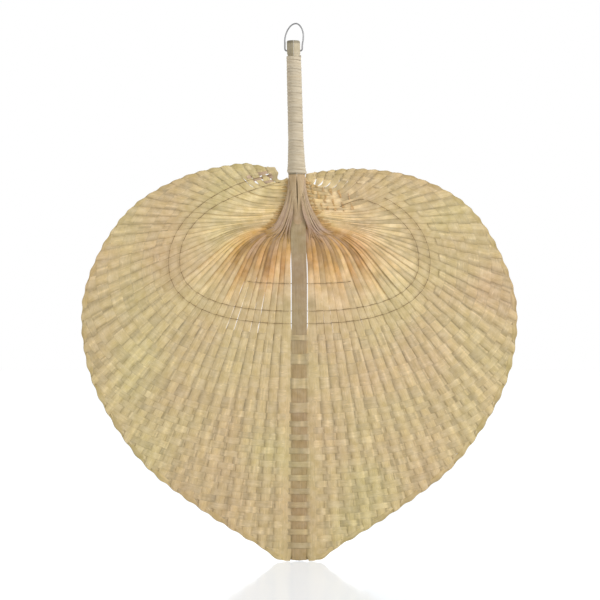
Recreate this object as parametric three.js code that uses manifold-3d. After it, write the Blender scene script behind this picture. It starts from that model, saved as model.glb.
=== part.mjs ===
import * as THREE from 'three';
import { mergeVertices } from 'three/addons/utils/BufferGeometryUtils.js';
import Module from 'manifold-3d';

// Heart-shaped woven bamboo fan that hangs, handle up, from a wire loop.
// Millimetres, +Z up, the front faces -Y. The origin is where a nail bears inside the top of the loop.

const wasm = await Module();
wasm.setup();

// Clearances between pieces that touch in the real fan
const seatGap = 0.3;
const weaveGap = 0.3;
const rowGap = 0.6;

// Blade outline, measured from the centre of the bare eye: half width, rise of the lobes, drop of the tip
const spineX = 2.5;
const eyeZ = -178;
const bladeHalfWidth = 163;
const lobeRise = 72;
const tipDrop = 225;
const lobeSkew = 0.04;
const rimSteps = 200;

// Right half of the rim from the neck to the tip, as shares of the half width and of the rise or drop
const rimShape = [
  [0.06, 0.78], [0.10, 0.93], [0.28, 1.00], [0.54, 0.875], [0.78, 0.56], [0.94, 0], [1.00, -0.187],
  [0.933, -0.42], [0.725, -0.66], [0.461, -0.82], [0.15, -0.962], [0.09, -0.992], [0, -1],
];

// Bare eye, bounded by the outer binding thread; the lobe band is the blade between its top and the rim
const eyeHalfWidth = 98;
const eyeDrop = 46.5;
const lobeBand = 8;
const eyeFlatness = 0.8;
const eyeEndAngle = 174;
const eyeSteps = 60;

// Ribs on each side of the spine
const ribCount = 34;
const ribThickness = 0.8;
const ribRootWidth = 1.4;
const ribEyeWidth = 1.9;
const ribThreadWidth = 3;
const ribWidening = 0.01;
const ribFlatShare = 0.45;
const firstRibOffset = 10.2;
const ribReach = 0.98;
const ribTurn = 2.05;
const ribTurnGain = 0.05;
const lobeRibFrom = 28;
const lobeRibTurn = 1.0;
const lobeRibSpacing = 0.115;

// Central spine: thinner in the neck and towards the tip
const spineWidth = 11.2;
const spineThickness = 1.8;
const spineTenonThickness = 1.4;
const spineTipThickness = 1.3;
const spineTopZ = -122;
const spineEndGap = 1.2;

// Weft rows, counted outwards from the outer thread
const weftThickness = 0.45;
const firstRowStart = 8;
const firstRowPitch = 5;
const wideRowCount = 6;
const wideRowPitch = 9.1;
const narrowRowCount = 21;

// Binding threads, at distances along the ribs from the outer one
const threadSize = 0.6;
const middleThreadInset = 9.4;
const innerThreadInset = 30;
const innerThreadRibs = 8;
const middleThreadLeftRibs = 34;
const middleThreadRightRibs = 27;
const outerThreadLeftRibs = 33;
const outerThreadRightRibs = 31;

// Edging strip along the rim
const edgingWidth = 3;
const edgingInset = 0.7;
const rowEndWidth = 1.2;
const rowTipWidth = 0.5;

// Handle: a culm in two halves, leaning a little from the blade's line
const handleLean = 1.45;
const leanFromZ = -190;
const buttZ = -12.5;
const buttRadius = 5;
const buttChamfer = 0.7;
const gripTopZ = -23;
const gripTopRadius = 4.5;
const gripMiddleZ = -86;
const gripMiddleRadius = 4.8;
const gripFlareZ = -106;
const gripFlareRadius = 5.6;
const gripEndZ = -112.5;
const gripEndRadius = 6.6;
const neckWaistZ = -132;
const neckWaistHalfWidth = 9;
const neckWaistHalfDepth = 6;
const neckFlareZ = -143;
const neckFlareHalfWidth = 14;
const neckFlareHalfDepth = 4;
const neckSkirtZ = -151;
const neckSkirtHalfWidth = 19.5;
const neckSkirtHalfDepth = 2.6;
const neckEndZ = -156;
const neckEndHalfWidth = 22;
const neckEndHalfDepth = 1.7;
const slitWidth = 0.4;
const halfRoundSteps = 8;
const archSteps = 12;

// Where the ribs leave each culm half: along its lower edge, then up its flank, a little inside it
const firstRootGap = 1.4;
const rootInset = 2.4;
const topRootHalfWidth = 8.5;
const topRootZ = -127;

// Where the ribs bend out of the neck's line: from the first rib, to the far ones, to the lobe's top ones
const bendNearOut = 9.5;
const bendNearUp = 18;
const bendFarOut = 28;
const bendFarUp = 31;
const bendTopOut = 24;
const bendTopUp = 42;
const bendFarFrom = 12;
const bendTopFrom = 26;
const ribBendShare = 0.74;

// Grip cord
const cordWidth = 3.3;
const cordThickness = 0.75;
const cordTurns = 23;
const cordTurnSteps = 14;
const cordLeastGap = 0.4;

// Wire loop and the cross hole that it turns in
const wireRadius = 0.55;
const wireSides = 8;
const holeZ = -20;
const holeSides = 16;
const loopLeft = -8.4;
const loopLeftShoulderZ = -12.5;
const loopLeftRise = 5.5;
const loopLeftRound = 4.8;
const loopRight = 5.5;
const loopRightShoulderZ = -8.5;
const loopRightRise = 4.3;
const loopRightRound = 2.9;
const loopRightFoot = 4.7;
const loopEndGap = 0.5;
const wireBendRadius = 2;
const wireBendSteps = 6;

const bambooColour = 0xcdb889;
const culmColour = 0xb59c84;
const spineColour = 0xa8917a;
const threadColour = 0x4f4234;
const cordColour = 0xd8ccb4;
const wireColour = 0x8d8f91;

// Shared helpers

function material(colour, roughness, metalness = 0) {
  return new THREE.MeshStandardMaterial({ color: colour, roughness, metalness });
}

function lerp(from, to, share) {
  return from + (to - from) * share;
}

// Closed solid through rings of points, each ring a convex section with the same number of points
function loft(rings) {
  const count = rings[0].length;
  const positions = rings.flat().flatMap((point) => [point.x, point.y, point.z]);
  const faces = [];
  for (let ring = 0; ring + 1 < rings.length; ring++) {
    for (let side = 0; side < count; side++) {
      const a = ring * count + side;
      const b = ring * count + ((side + 1) % count);
      faces.push([a, b, b + count], [a, b + count, a + count]);
    }
  }
  const last = (rings.length - 1) * count;
  for (let side = 1; side + 1 < count; side++) {
    faces.push([0, side + 1, side], [last, last + side, last + side + 1]);
  }
  const geometry = new THREE.BufferGeometry();
  geometry.setAttribute('position', new THREE.Float32BufferAttribute(positions, 3));
  const inward = volumeOf(positions, faces) < 0;
  geometry.setIndex(faces.flatMap(([a, b, c]) => (inward ? [a, c, b] : [a, b, c])));
  return geometry;
}

function volumeOf(positions, faces) {
  const corner = (index) => new THREE.Vector3().fromArray(positions, index * 3);
  const shares = faces.map(([a, b, c]) => corner(a).dot(corner(b).cross(corner(c))));
  return shares.reduce((sum, share) => sum + share, 0) / 6;
}

function toSolid(geometry) {
  const bare = geometry.clone();
  bare.deleteAttribute('normal');
  bare.deleteAttribute('uv');
  const merged = mergeVertices(bare);
  return new wasm.Manifold(new wasm.Mesh({
    numProp: 3,
    vertProperties: Float32Array.from(merged.attributes.position.array),
    triVerts: Uint32Array.from(merged.index.array),
  }));
}

function toGeometry(solid) {
  const mesh = solid.getMesh();
  const geometry = new THREE.BufferGeometry();
  geometry.setAttribute('position', new THREE.Float32BufferAttribute(mesh.vertProperties, 3));
  geometry.setIndex(Array.from(mesh.triVerts));
  return geometry;
}

const fan = new THREE.Group();

function addPiece(name, geometry, pieceMaterial) {
  geometry.computeVertexNormals();
  const mesh = new THREE.Mesh(geometry, pieceMaterial);
  mesh.name = name;
  fan.add(mesh);
}

// Blade plane: u runs outwards from the spine, w up from the eye's centre

function bladePoint(side, u, w) {
  const rise = w > 0 ? w * (1 - side * lobeSkew) : w;
  return new THREE.Vector2(spineX + side * u, eyeZ + rise);
}

function handleX(z) {
  return spineX - Math.max(0, z - leanFromZ) * Math.tan(THREE.MathUtils.degToRad(handleLean));
}

const rim = new THREE.SplineCurve(rimShape.map(([across, along]) => (
  new THREE.Vector2(across * bladeHalfWidth, along * (along > 0 ? lobeRise : tipDrop)))));
const rimPoints = rim.getPoints(rimSteps);

// Distance from a point inside the blade to the rim, along a direction
function distanceToRim(from, direction) {
  let nearest = Infinity;
  for (let i = 0; i + 1 < rimPoints.length; i++) {
    const edge = rimPoints[i + 1].clone().sub(rimPoints[i]);
    const gap = rimPoints[i].clone().sub(from);
    const slant = direction.cross(edge);
    const along = gap.cross(edge) / slant;
    const share = gap.cross(direction) / slant;
    if (share >= 0 && share <= 1 && along > 0) nearest = Math.min(nearest, along);
  }
  return nearest;
}

function eyePoint(angle) {
  const across = Math.sin(angle);
  const down = Math.cos(angle);
  if (down < 0) return new THREE.Vector2(eyeHalfWidth * across, -(lobeRise - lobeBand) * down);
  return new THREE.Vector2(eyeHalfWidth * across ** eyeFlatness, -eyeDrop * down ** eyeFlatness);
}

const eyeEdge = new THREE.SplineCurve(Array.from({ length: eyeSteps + 1 }, (_, step) => (
  eyePoint(THREE.MathUtils.degToRad(eyeEndAngle) * step / eyeSteps))));
const rootPath = [
  [spineWidth / 2 + firstRootGap, neckEndZ + rootInset],
  [neckEndHalfWidth - rootInset, neckEndZ + rootInset],
  [neckSkirtHalfWidth - rootInset, neckSkirtZ],
  [neckFlareHalfWidth - rootInset, neckFlareZ],
  [neckWaistHalfWidth - rootInset, neckWaistZ],
  [topRootHalfWidth - rootInset, topRootZ],
].map(([out, z]) => new THREE.Vector2(out, z));
const ribRoots = new THREE.CurvePath();
for (let i = 0; i + 1 < rootPath.length; i++) {
  ribRoots.add(new THREE.LineCurve(rootPath[i], rootPath[i + 1]));
}

// Ribs: each bends out of the neck, crosses the outer thread and runs straight on to the rim.
// Distances along a rib count from the outer thread, below zero inside the eye.

const bendNear = new THREE.Vector2(bendNearOut, bendNearUp);
const bendFar = new THREE.Vector2(bendFarOut, bendFarUp);
const bendTop = new THREE.Vector2(bendTopOut, bendTopUp);

function ribBend(k) {
  if (k <= bendFarFrom) return bendNear.clone().lerp(bendFar, (k - 1) / (bendFarFrom - 1));
  const towardsTop = Math.max(0, (k - bendTopFrom) / (ribCount - bendTopFrom));
  return bendFar.clone().lerp(bendTop, towardsTop);
}

function ribDirection(k) {
  const inLobe = Math.max(0, k - lobeRibFrom);
  const angle = THREE.MathUtils.degToRad(ribTurn * k + ribTurnGain * k ** 2 + lobeRibTurn * inLobe ** 2);
  return new THREE.Vector2(Math.sin(angle), -Math.cos(angle));
}

function ribPlace(k) {
  return k - 1 + lobeRibSpacing * Math.max(0, k - bendTopFrom) ** 2;
}

class Rib {
  constructor(side, k) {
    const first = firstRibOffset / eyeEdge.getLength();
    const onEye = eyeEdge.getPointAt(lerp(first, ribReach, ribPlace(k) / ribPlace(ribCount)));
    const direction = ribDirection(k);
    const onRim = onEye.clone().addScaledVector(direction, distanceToRim(onEye, direction));
    const bend = onEye.clone();
    bend.addScaledVector(direction, ribBend(k).sub(onEye).dot(direction));
    const root = ribRoots.getPointAt((k - 0.5) / ribCount);
    const rootAt = new THREE.Vector2(handleX(root.y) + side * root.x, root.y);
    this.start = bladePoint(side, onEye.x, onEye.y);
    const end = bladePoint(side, onRim.x, onRim.y);
    this.length = end.distanceTo(this.start);
    this.direction = end.clone().sub(this.start).normalize();
    this.bent = new THREE.QuadraticBezierCurve(rootAt, bladePoint(side, bend.x, bend.y), this.start);
    this.bentLength = this.bent.getLength();
    this.flatLength = ribFlatShare * this.bentLength;
  }

  at(distance) {
    if (distance >= 0) return this.start.clone().addScaledVector(this.direction, distance);
    return this.bent.getPointAt(Math.max(0, 1 + distance / this.bentLength));
  }

  heading(distance) {
    if (distance >= 0) return this.direction.clone();
    return this.bent.getTangentAt(Math.max(0, 1 + distance / this.bentLength));
  }

  width(distance) {
    if (distance > 0) return ribThreadWidth + ribWidening * distance;
    if (distance > -this.flatLength) return lerp(ribThreadWidth, ribEyeWidth, -distance / this.flatLength);
    return lerp(ribEyeWidth, ribRootWidth, this.turn(distance));
  }

  // Share of a quarter turn: on edge at the root, flat from the middle of the eye outwards
  turn(distance) {
    return Math.max(0, (-distance - this.flatLength) / (this.bentLength - this.flatLength));
  }

  // Section with a ridge on both faces, turned about the rib's own line
  ring(distance) {
    const point = this.at(distance);
    const heading = this.heading(distance);
    const across = new THREE.Vector3(heading.y, 0, -heading.x);
    const depth = new THREE.Vector3(0, 1, 0);
    const turn = this.turn(distance) * Math.PI / 2;
    const wide = across.clone().multiplyScalar(Math.cos(turn)).addScaledVector(depth, Math.sin(turn));
    const thin = depth.clone().multiplyScalar(Math.cos(turn)).addScaledVector(across, -Math.sin(turn));
    const centre = new THREE.Vector3(point.x, 0, point.y);
    const halfWidth = this.width(distance) / 2;
    const halfDepth = ribThickness / 2;
    return [[wide, halfWidth], [thin, halfDepth], [wide, -halfWidth], [thin, -halfDepth]]
      .map(([axis, reach]) => centre.clone().addScaledVector(axis, reach));
  }

  solid() {
    const inner = [1, ribBendShare].map((share) => -this.bentLength * share);
    return loft([...inner, -this.flatLength, 0, this.length].map((distance) => this.ring(distance)));
  }
}

const sides = [-1, 1];
const ribs = new Map(sides.map((side) => (
  [side, Array.from({ length: ribCount }, (_, i) => new Rib(side, i + 1))])));
const ribAt = (side, k) => ribs.get(side)[k - 1];

// Culm halves: a half-round handle, then a flared neck that is slit into the ribs

const handleRings = [
  { z: buttZ, radius: buttRadius - buttChamfer },
  { z: buttZ - buttChamfer, radius: buttRadius },
  { z: gripTopZ + buttChamfer, radius: buttRadius },
  { z: gripTopZ, radius: gripTopRadius },
  { z: gripMiddleZ, radius: gripMiddleRadius },
  { z: gripFlareZ, radius: gripFlareRadius },
  { z: gripEndZ, radius: gripEndRadius },
];

function handleRadius(z) {
  const next = Math.max(1, handleRings.findIndex((ring) => ring.z <= z));
  const above = handleRings[next - 1];
  const below = handleRings[next];
  return lerp(above.radius, below.radius, (above.z - z) / (above.z - below.z));
}

const neckRings = [
  { z: gripEndZ - seatGap, radius: gripEndRadius },
  { z: neckWaistZ, halfWidth: neckWaistHalfWidth, halfDepth: neckWaistHalfDepth },
  { z: neckFlareZ, halfWidth: neckFlareHalfWidth, halfDepth: neckFlareHalfDepth },
  { z: neckSkirtZ, halfWidth: neckSkirtHalfWidth, halfDepth: neckSkirtHalfDepth },
  { z: neckEndZ, halfWidth: neckEndHalfWidth, halfDepth: neckEndHalfDepth },
];

function halfRound(side, { z, radius, halfWidth = radius, halfDepth = radius }) {
  return Array.from({ length: halfRoundSteps + 1 }, (_, step) => {
    const angle = Math.PI * (step / halfRoundSteps - 0.5);
    const out = slitWidth / 2 + (halfWidth - slitWidth / 2) * Math.cos(angle);
    return new THREE.Vector3(handleX(z) + side * out, halfDepth * Math.sin(angle), z);
  });
}

// Slot for the spine's upper end, and the arch in the neck's lower edge that it comes out of
function spineSlot() {
  const halfSlot = spineThickness / 2 + seatGap;
  const halfArch = spineWidth / 2 + seatGap;
  const slotTop = spineTopZ + seatGap;
  const slotEnd = neckEndZ - seatGap;
  const corners = [[-1, -1], [1, -1], [1, 1], [-1, 1]];
  const slot = loft([slotTop, slotEnd].map((z) => (
    corners.map(([x, y]) => new THREE.Vector3(handleX(z) + x * halfArch, y * halfSlot, z)))));
  const archZ = neckWaistZ - halfArch;
  const outline = new THREE.Shape();
  outline.moveTo(-halfArch, slotEnd - archZ);
  outline.lineTo(halfArch, slotEnd - archZ);
  outline.lineTo(halfArch, 0);
  outline.absarc(0, 0, halfArch, 0, Math.PI);
  outline.closePath();
  const depth = 2 * gripEndRadius;
  const arch = new THREE.ExtrudeGeometry(outline, { depth, bevelEnabled: false, curveSegments: archSteps });
  arch.rotateX(Math.PI / 2);
  arch.translate(handleX(archZ), depth / 2, archZ);
  return toSolid(slot).add(toSolid(arch));
}

function crossHole() {
  const length = 4 * buttRadius;
  const hole = new THREE.CylinderGeometry(wireRadius + seatGap, wireRadius + seatGap, length, holeSides);
  hole.rotateZ(Math.PI / 2);
  hole.translate(handleX(holeZ), 0, holeZ);
  return toSolid(hole);
}

function handleHalf(side) {
  const solid = toSolid(loft(handleRings.map((ring) => halfRound(side, ring))));
  return toGeometry(solid.subtract(crossHole()));
}

function ribFan(side) {
  let solid = toSolid(loft(neckRings.map((ring) => halfRound(side, ring))));
  for (const rib of ribs.get(side)) solid = solid.add(toSolid(rib.solid()));
  return toGeometry(solid.subtract(spineSlot()));
}

for (const side of sides) {
  const hand = side < 0 ? 'left' : 'right';
  addPiece(`${hand}_handle_half`, handleHalf(side), material(culmColour, 0.6));
  addPiece(`${hand}_rib_fan`, ribFan(side), material(culmColour, 0.6));
}

// Central spine

const spineStartZ = eyeZ - eyeDrop;
const spineLength = tipDrop - eyeDrop - spineEndGap;

function centralSpine() {
  const sections = [
    [spineTopZ, spineTenonThickness], [neckEndZ, spineThickness], [leanFromZ, spineThickness],
    [spineStartZ - spineLength, spineTipThickness],
  ];
  return loft(sections.map(([z, thickness]) => (
    [[-1, -1], [1, -1], [1, 1], [-1, 1]].map(([across, deep]) => new THREE.Vector3(
      handleX(z) + across * spineWidth / 2, deep * thickness / 2, z)))));
}

addPiece('central_spine', centralSpine(), material(spineColour, 0.65));

// Woven strips: a strip is a row of stations, each with its two edges in the blade plane and its depth.
// It passes over one rib and under the next, far enough out to clear the rib's whole width.

function station(inner, outer, depth) {
  return { inner, outer, depth };
}

// Least distance, square to a rib, to the place where the strip's edge crosses the next rib on either side
function neighbourDistance(side, k, edgeAt) {
  const rib = ribAt(side, k);
  const here = rib.at(edgeAt(k));
  const beside = [k - 1, k + 1].filter((other) => other >= 1 && other <= ribCount);
  return Math.min(...beside.map((other) => (
    Math.abs(ribAt(side, other).at(edgeAt(other)).sub(here).cross(rib.heading(edgeAt(k)))))));
}

function liftOverRib(side, k, edgesAt, halfThickness) {
  const overRidge = ribThickness / 2 + halfThickness + weaveGap;
  const overEdges = [0, 1].map((edge) => {
    const edgeAt = (other) => edgesAt(side, other)[edge];
    const share = ribAt(side, k).width(edgeAt(k)) / neighbourDistance(side, k, edgeAt);
    return (halfThickness + weaveGap) / (1 - share);
  });
  return Math.max(overRidge, ...overEdges);
}

function ribStation(side, k, edgesAt, depth) {
  const [inner, outer] = edgesAt(side, k).map((edge) => ribAt(side, k).at(edge));
  return station(inner, outer, depth);
}

// Stations beside and across the spine, from left to right
function spineStations(edges, face, halfThickness) {
  const out = spineWidth / 2 + weaveGap;
  const across = face * (spineThickness / 2 + halfThickness + weaveGap);
  const beside = -face * (halfThickness + weaveGap);
  const onSpine = (edge, offset) => {
    const z = spineStartZ - edge;
    return new THREE.Vector2(handleX(z) + offset, z);
  };
  const byRib = (side, edge) => {
    const rib = ribAt(side, 1);
    const point = rib.at(edge);
    point.x -= side * (rib.width(edge) / 2 + weaveGap);
    return point;
  };
  return [
    station(byRib(-1, edges[0]), byRib(-1, edges[1]), beside),
    station(onSpine(edges[0], -out), onSpine(edges[1], -out), across),
    station(onSpine(edges[0], out), onSpine(edges[1], out), across),
    station(byRib(1, edges[0]), byRib(1, edges[1]), beside),
  ];
}

// Full strip from its last rib on the left to its last on the right
function stripStations({ edgesAt, reach, phase, halfThickness, tail }) {
  const faceAt = (k) => ((phase + k) % 2 ? -1 : 1);
  const wing = (side) => {
    const crossed = Array.from({ length: reach(side) }, (_, i) => i + 1);
    const lifts = crossed.map((k) => liftOverRib(side, k, edgesAt, halfThickness));
    const stations = crossed.map((k, i) => {
      const lift = Math.max(...lifts.slice(Math.max(0, i - 1), i + 2));
      return ribStation(side, k, edgesAt, faceAt(k) * lift);
    });
    return [...stations, ...tail(side, stations.at(-1))];
  };
  const middle = spineStations(edgesAt(0, 0), faceAt(0), halfThickness);
  return [...wing(-1).reverse(), ...middle, ...wing(1)];
}

function stripGeometry(stations, halfThickness) {
  return loft(stations.map(({ inner, outer, depth }) => [
    new THREE.Vector3(inner.x, depth - halfThickness, inner.y),
    new THREE.Vector3(outer.x, depth - halfThickness, outer.y),
    new THREE.Vector3(outer.x, depth + halfThickness, outer.y),
    new THREE.Vector3(inner.x, depth + halfThickness, inner.y),
  ]));
}

// Edging strip round the rib ends, behind the spine at the tip

function edgingEdges(length) {
  return [length - edgingInset - edgingWidth, length - edgingInset];
}

function edgingStrip() {
  const halfThickness = weftThickness / 2;
  const edgesAt = (side, k) => edgingEdges(k ? ribAt(side, k).length : spineLength);
  const reach = () => ribCount;
  const stations = stripStations({ edgesAt, reach, phase: 0, halfThickness, tail: () => [] });
  return stripGeometry(stations, halfThickness);
}

addPiece('edging_strip', edgingStrip(), material(bambooColour, 0.7));

// Weft rows

const tipLimit = Math.min(...sides.map((side) => edgingEdges(ribAt(side, 1).length)[0])) - rowGap;
const wideStart = firstRowStart + firstRowPitch;
const narrowStart = wideStart + wideRowCount * wideRowPitch;
const narrowRowPitch = (tipLimit + rowGap - narrowStart) / narrowRowCount;

function rowEdges(row) {
  if (row === 0) return [firstRowStart, wideStart - rowGap];
  if (row <= wideRowCount) {
    const start = wideStart + (row - 1) * wideRowPitch;
    return [start, start + wideRowPitch - rowGap];
  }
  const start = narrowStart + (row - wideRowCount - 1) * narrowRowPitch;
  return [start, start + narrowRowPitch - rowGap];
}

// Room for weft on a rib, as far as the edging strip
function weftRoom(side, k) {
  return edgingEdges(ribAt(side, k).length)[0] - rowGap;
}

function lastRib(side, innerEdge) {
  let k = 1;
  while (k < ribCount && weftRoom(side, k + 1) >= innerEdge + rowEndWidth) k++;
  return k;
}

// A row narrows where it meets the edging strip, and runs out past its last rib
function rowTail(side, k, innerEdge, last) {
  if (k === ribCount) return [];
  const room = [weftRoom(side, k), weftRoom(side, k + 1)];
  const share = Math.min(0.5, (room[0] - innerEdge - rowTipWidth) / (room[0] - room[1]));
  const [inner, outer] = [innerEdge, innerEdge + rowTipWidth].map((edge) => (
    ribAt(side, k).at(edge).lerp(ribAt(side, k + 1).at(edge), share)));
  return [station(inner, outer, last.depth * (1 - 2 * share))];
}

function weftStrip(row) {
  const halfThickness = weftThickness / 2;
  const [innerEdge, outerEdge] = rowEdges(row);
  const edgesAt = (side, k) => [innerEdge, k ? Math.min(outerEdge, weftRoom(side, k)) : outerEdge];
  const reach = (side) => lastRib(side, innerEdge);
  const tail = (side, last) => rowTail(side, reach(side), innerEdge, last);
  const stations = stripStations({ edgesAt, reach, phase: row + 1, halfThickness, tail });
  return stripGeometry(stations, halfThickness);
}

const rowCount = 1 + wideRowCount + narrowRowCount;
for (let row = 0; row < rowCount; row++) {
  const name = `weft_strip_${String(row + 1).padStart(2, '0')}`;
  addPiece(name, weftStrip(row), material(bambooColour, 0.7));
}

// Binding threads, behind the spine

function bindingThread(inset, leftRibs, rightRibs) {
  const edges = [-inset - threadSize / 2, -inset + threadSize / 2];
  const halfThickness = threadSize / 2;
  const reach = (side) => (side < 0 ? leftRibs : rightRibs);
  const stations = stripStations({ edgesAt: () => edges, reach, phase: 0, halfThickness, tail: () => [] });
  return stripGeometry(stations, halfThickness);
}

const innerThread = bindingThread(innerThreadInset, innerThreadRibs, innerThreadRibs);
const middleThread = bindingThread(middleThreadInset, middleThreadLeftRibs, middleThreadRightRibs);
const outerThread = bindingThread(0, outerThreadLeftRibs, outerThreadRightRibs);
addPiece('inner_thread', innerThread, material(threadColour, 0.8));
addPiece('middle_thread', middleThread, material(threadColour, 0.8));
addPiece('outer_thread', outerThread, material(threadColour, 0.8));

// Grip cord: one flat cord wound down the handle, its ends straight for one thickness

function cordRing(angle, z, ahead) {
  const halfWidth = cordWidth / 2;
  const halfDepth = cordThickness / 2;
  const flank = halfWidth - halfDepth;
  const widest = Math.max(handleRadius(z - halfWidth), handleRadius(z + halfWidth));
  const radius = (widest + seatGap) / Math.cos(Math.PI / cordTurnSteps) + halfDepth;
  const radial = new THREE.Vector3(Math.cos(angle), Math.sin(angle), 0);
  const tangent = new THREE.Vector3(-Math.sin(angle), Math.cos(angle), 0);
  const centre = new THREE.Vector3(handleX(z), 0, z);
  centre.addScaledVector(radial, radius).addScaledVector(tangent, ahead);
  return [[halfWidth, 0], [flank, halfDepth], [-flank, halfDepth], [-halfWidth, 0], [-flank, -halfDepth],
    [flank, -halfDepth]].map(([along, out]) => {
    const point = centre.clone().addScaledVector(radial, out);
    point.z += along;
    return point;
  });
}

function cordRings() {
  const steps = cordTurns * cordTurnSteps;
  const top = gripTopZ - cordWidth / 2;
  const bottom = gripEndZ + cordWidth / 2;
  const rings = [cordRing(0, top, -cordThickness)];
  for (let step = 0; step <= steps; step++) {
    rings.push(cordRing(2 * Math.PI * step / cordTurnSteps, lerp(top, bottom, step / steps), 0));
  }
  rings.push(cordRing(2 * Math.PI * cordTurns, bottom, cordThickness));
  return rings;
}

// Least distance between points of the cord that are more than half a turn apart along it
function leastGap(rings) {
  let least = Infinity;
  for (let i = 0; i < rings.length; i++) {
    for (let j = i + cordTurnSteps / 2; j < Math.min(rings.length, i + 2 * cordTurnSteps); j++) {
      for (const here of rings[i]) {
        for (const there of rings[j]) least = Math.min(least, here.distanceTo(there));
      }
    }
  }
  return least;
}

const cord = cordRings();
const cordGap = leastGap(cord);
console.log(`grip cord least gap to itself ${cordGap.toFixed(2)} mm, more than ${cordLeastGap} mm`);
addPiece('grip_cord', loft(cord), material(cordColour, 0.85));

// Wire loop: a bail bent by hand, slanted on its left, whose two ends turn in the cross hole

function wireLoop() {
  const middle = handleX(holeZ);
  const top = wireRadius;
  const footZ = holeZ + wireBendRadius;
  const path = new THREE.CurvePath();
  const point = (x, z) => new THREE.Vector3(x, 0, z);
  const line = (from, to) => path.add(new THREE.LineCurve3(from, to));
  const bend = (from, corner, to) => path.add(new THREE.QuadraticBezierCurve3(from, corner, to));
  const sweep = (...points) => path.add(new THREE.CubicBezierCurve3(...points));
  const foot = (x, inward) => [point(x, footZ), point(x, holeZ), point(x + inward * wireBendRadius, holeZ)];
  const leftShoulder = point(loopLeft, loopLeftShoulderZ);
  const rightShoulder = point(loopRight, loopRightShoulderZ);
  const crest = point(0, top);
  const footLift = (loopRightShoulderZ - footZ) / 2;
  line(point(middle - loopEndGap / 2, holeZ), point(loopLeft + wireBendRadius, holeZ));
  bend(...foot(loopLeft, 1).reverse());
  line(point(loopLeft, footZ), leftShoulder);
  const leftPull = point(loopLeft, loopLeftShoulderZ + loopLeftRise);
  const rightPull = point(loopRight, loopRightShoulderZ + loopRightRise);
  sweep(leftShoulder, leftPull, point(-loopLeftRound, top), crest);
  sweep(crest, point(loopRightRound, top), rightPull, rightShoulder);
  const legPull = point(loopRight, loopRightShoulderZ - footLift);
  sweep(rightShoulder, legPull, point(loopRightFoot, footZ + footLift), point(loopRightFoot, footZ));
  bend(...foot(loopRightFoot, -1));
  line(point(loopRightFoot - wireBendRadius, holeZ), point(middle + loopEndGap / 2, holeZ));
  const rings = [];
  for (const piece of path.curves) {
    const steps = piece.isLineCurve3 ? 1 : wireBendSteps;
    for (let step = rings.length ? 1 : 0; step <= steps; step++) {
      rings.push(wireRing(piece.getPoint(step / steps), piece.getTangent(step / steps)));
    }
  }
  return loft(rings);
}

function wireRing(centre, tangent) {
  const across = new THREE.Vector3(tangent.z, 0, -tangent.x);
  return Array.from({ length: wireSides }, (_, i) => {
    const angle = 2 * Math.PI * i / wireSides;
    const point = centre.clone().addScaledVector(across, wireRadius * Math.cos(angle));
    point.y += wireRadius * Math.sin(angle);
    return point;
  });
}

addPiece('hanging_loop', wireLoop(), material(wireColour, 0.35, 0.9));

export default fan;
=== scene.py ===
"""Heart-shaped hand fan of split bamboo, woven over ribs that are slit from its own handle."""

import math

import bpy
import numpy as np
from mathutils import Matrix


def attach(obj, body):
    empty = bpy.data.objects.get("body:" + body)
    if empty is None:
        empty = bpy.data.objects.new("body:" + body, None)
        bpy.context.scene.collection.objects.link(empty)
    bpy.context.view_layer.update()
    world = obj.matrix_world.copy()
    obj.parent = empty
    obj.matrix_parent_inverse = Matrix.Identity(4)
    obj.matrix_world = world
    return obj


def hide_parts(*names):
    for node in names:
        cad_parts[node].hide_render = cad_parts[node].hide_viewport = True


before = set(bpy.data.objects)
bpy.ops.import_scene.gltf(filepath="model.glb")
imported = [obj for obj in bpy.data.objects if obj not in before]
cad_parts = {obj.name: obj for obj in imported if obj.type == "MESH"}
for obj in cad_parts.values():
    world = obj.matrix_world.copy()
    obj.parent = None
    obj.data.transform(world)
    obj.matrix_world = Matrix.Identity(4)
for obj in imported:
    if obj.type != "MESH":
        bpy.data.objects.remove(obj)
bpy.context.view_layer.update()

MM = 0.001
SIDES = (-1, 1)
HANDS = ((-1, "left"), (1, "right"))
chance = np.random.default_rng(seed=7)

# Sizes are in millimetres and angles in degrees. Left is -1 and right is 1, front is -1 and back is 1.

# Blade outline: u runs out from the spine, w up from the centre of the bare eye
SPINE_X = 2.5
EYE_Z = -178
BLADE_HALF_WIDTH = 163
LOBE_RISE = 72
TIP_DROP = 225
LOBE_SKEW = 0.053
LOBE_SKEW_FALL = 0.095
RIM_SHAPE = [
    (0.28, 0.988), (0.54, 0.872), (0.78, 0.555), (0.94, 0), (1.00, -0.187),
    (0.94, -0.42), (0.732, -0.66), (0.461, -0.82), (0.15, -0.962), (0.09, -0.992), (0, -1),
]
RIM_STARTS = {-1: [(0.04, 0.80), (0.098, 0.83), (0.102, 0.93), (0.16, 0.946)], 1: [(0.02, 0.95), (0.08, 0.972)]}
RIM_STEPS = 20
RIM_SEARCH = 300
EYE_HALF_WIDTH = 98
EYE_DROP = 46.5
LOBE_BAND = 8
EYE_FLATNESS = 0.8
EYE_END_ANGLE = 174
EYE_STEPS = 240

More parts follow.
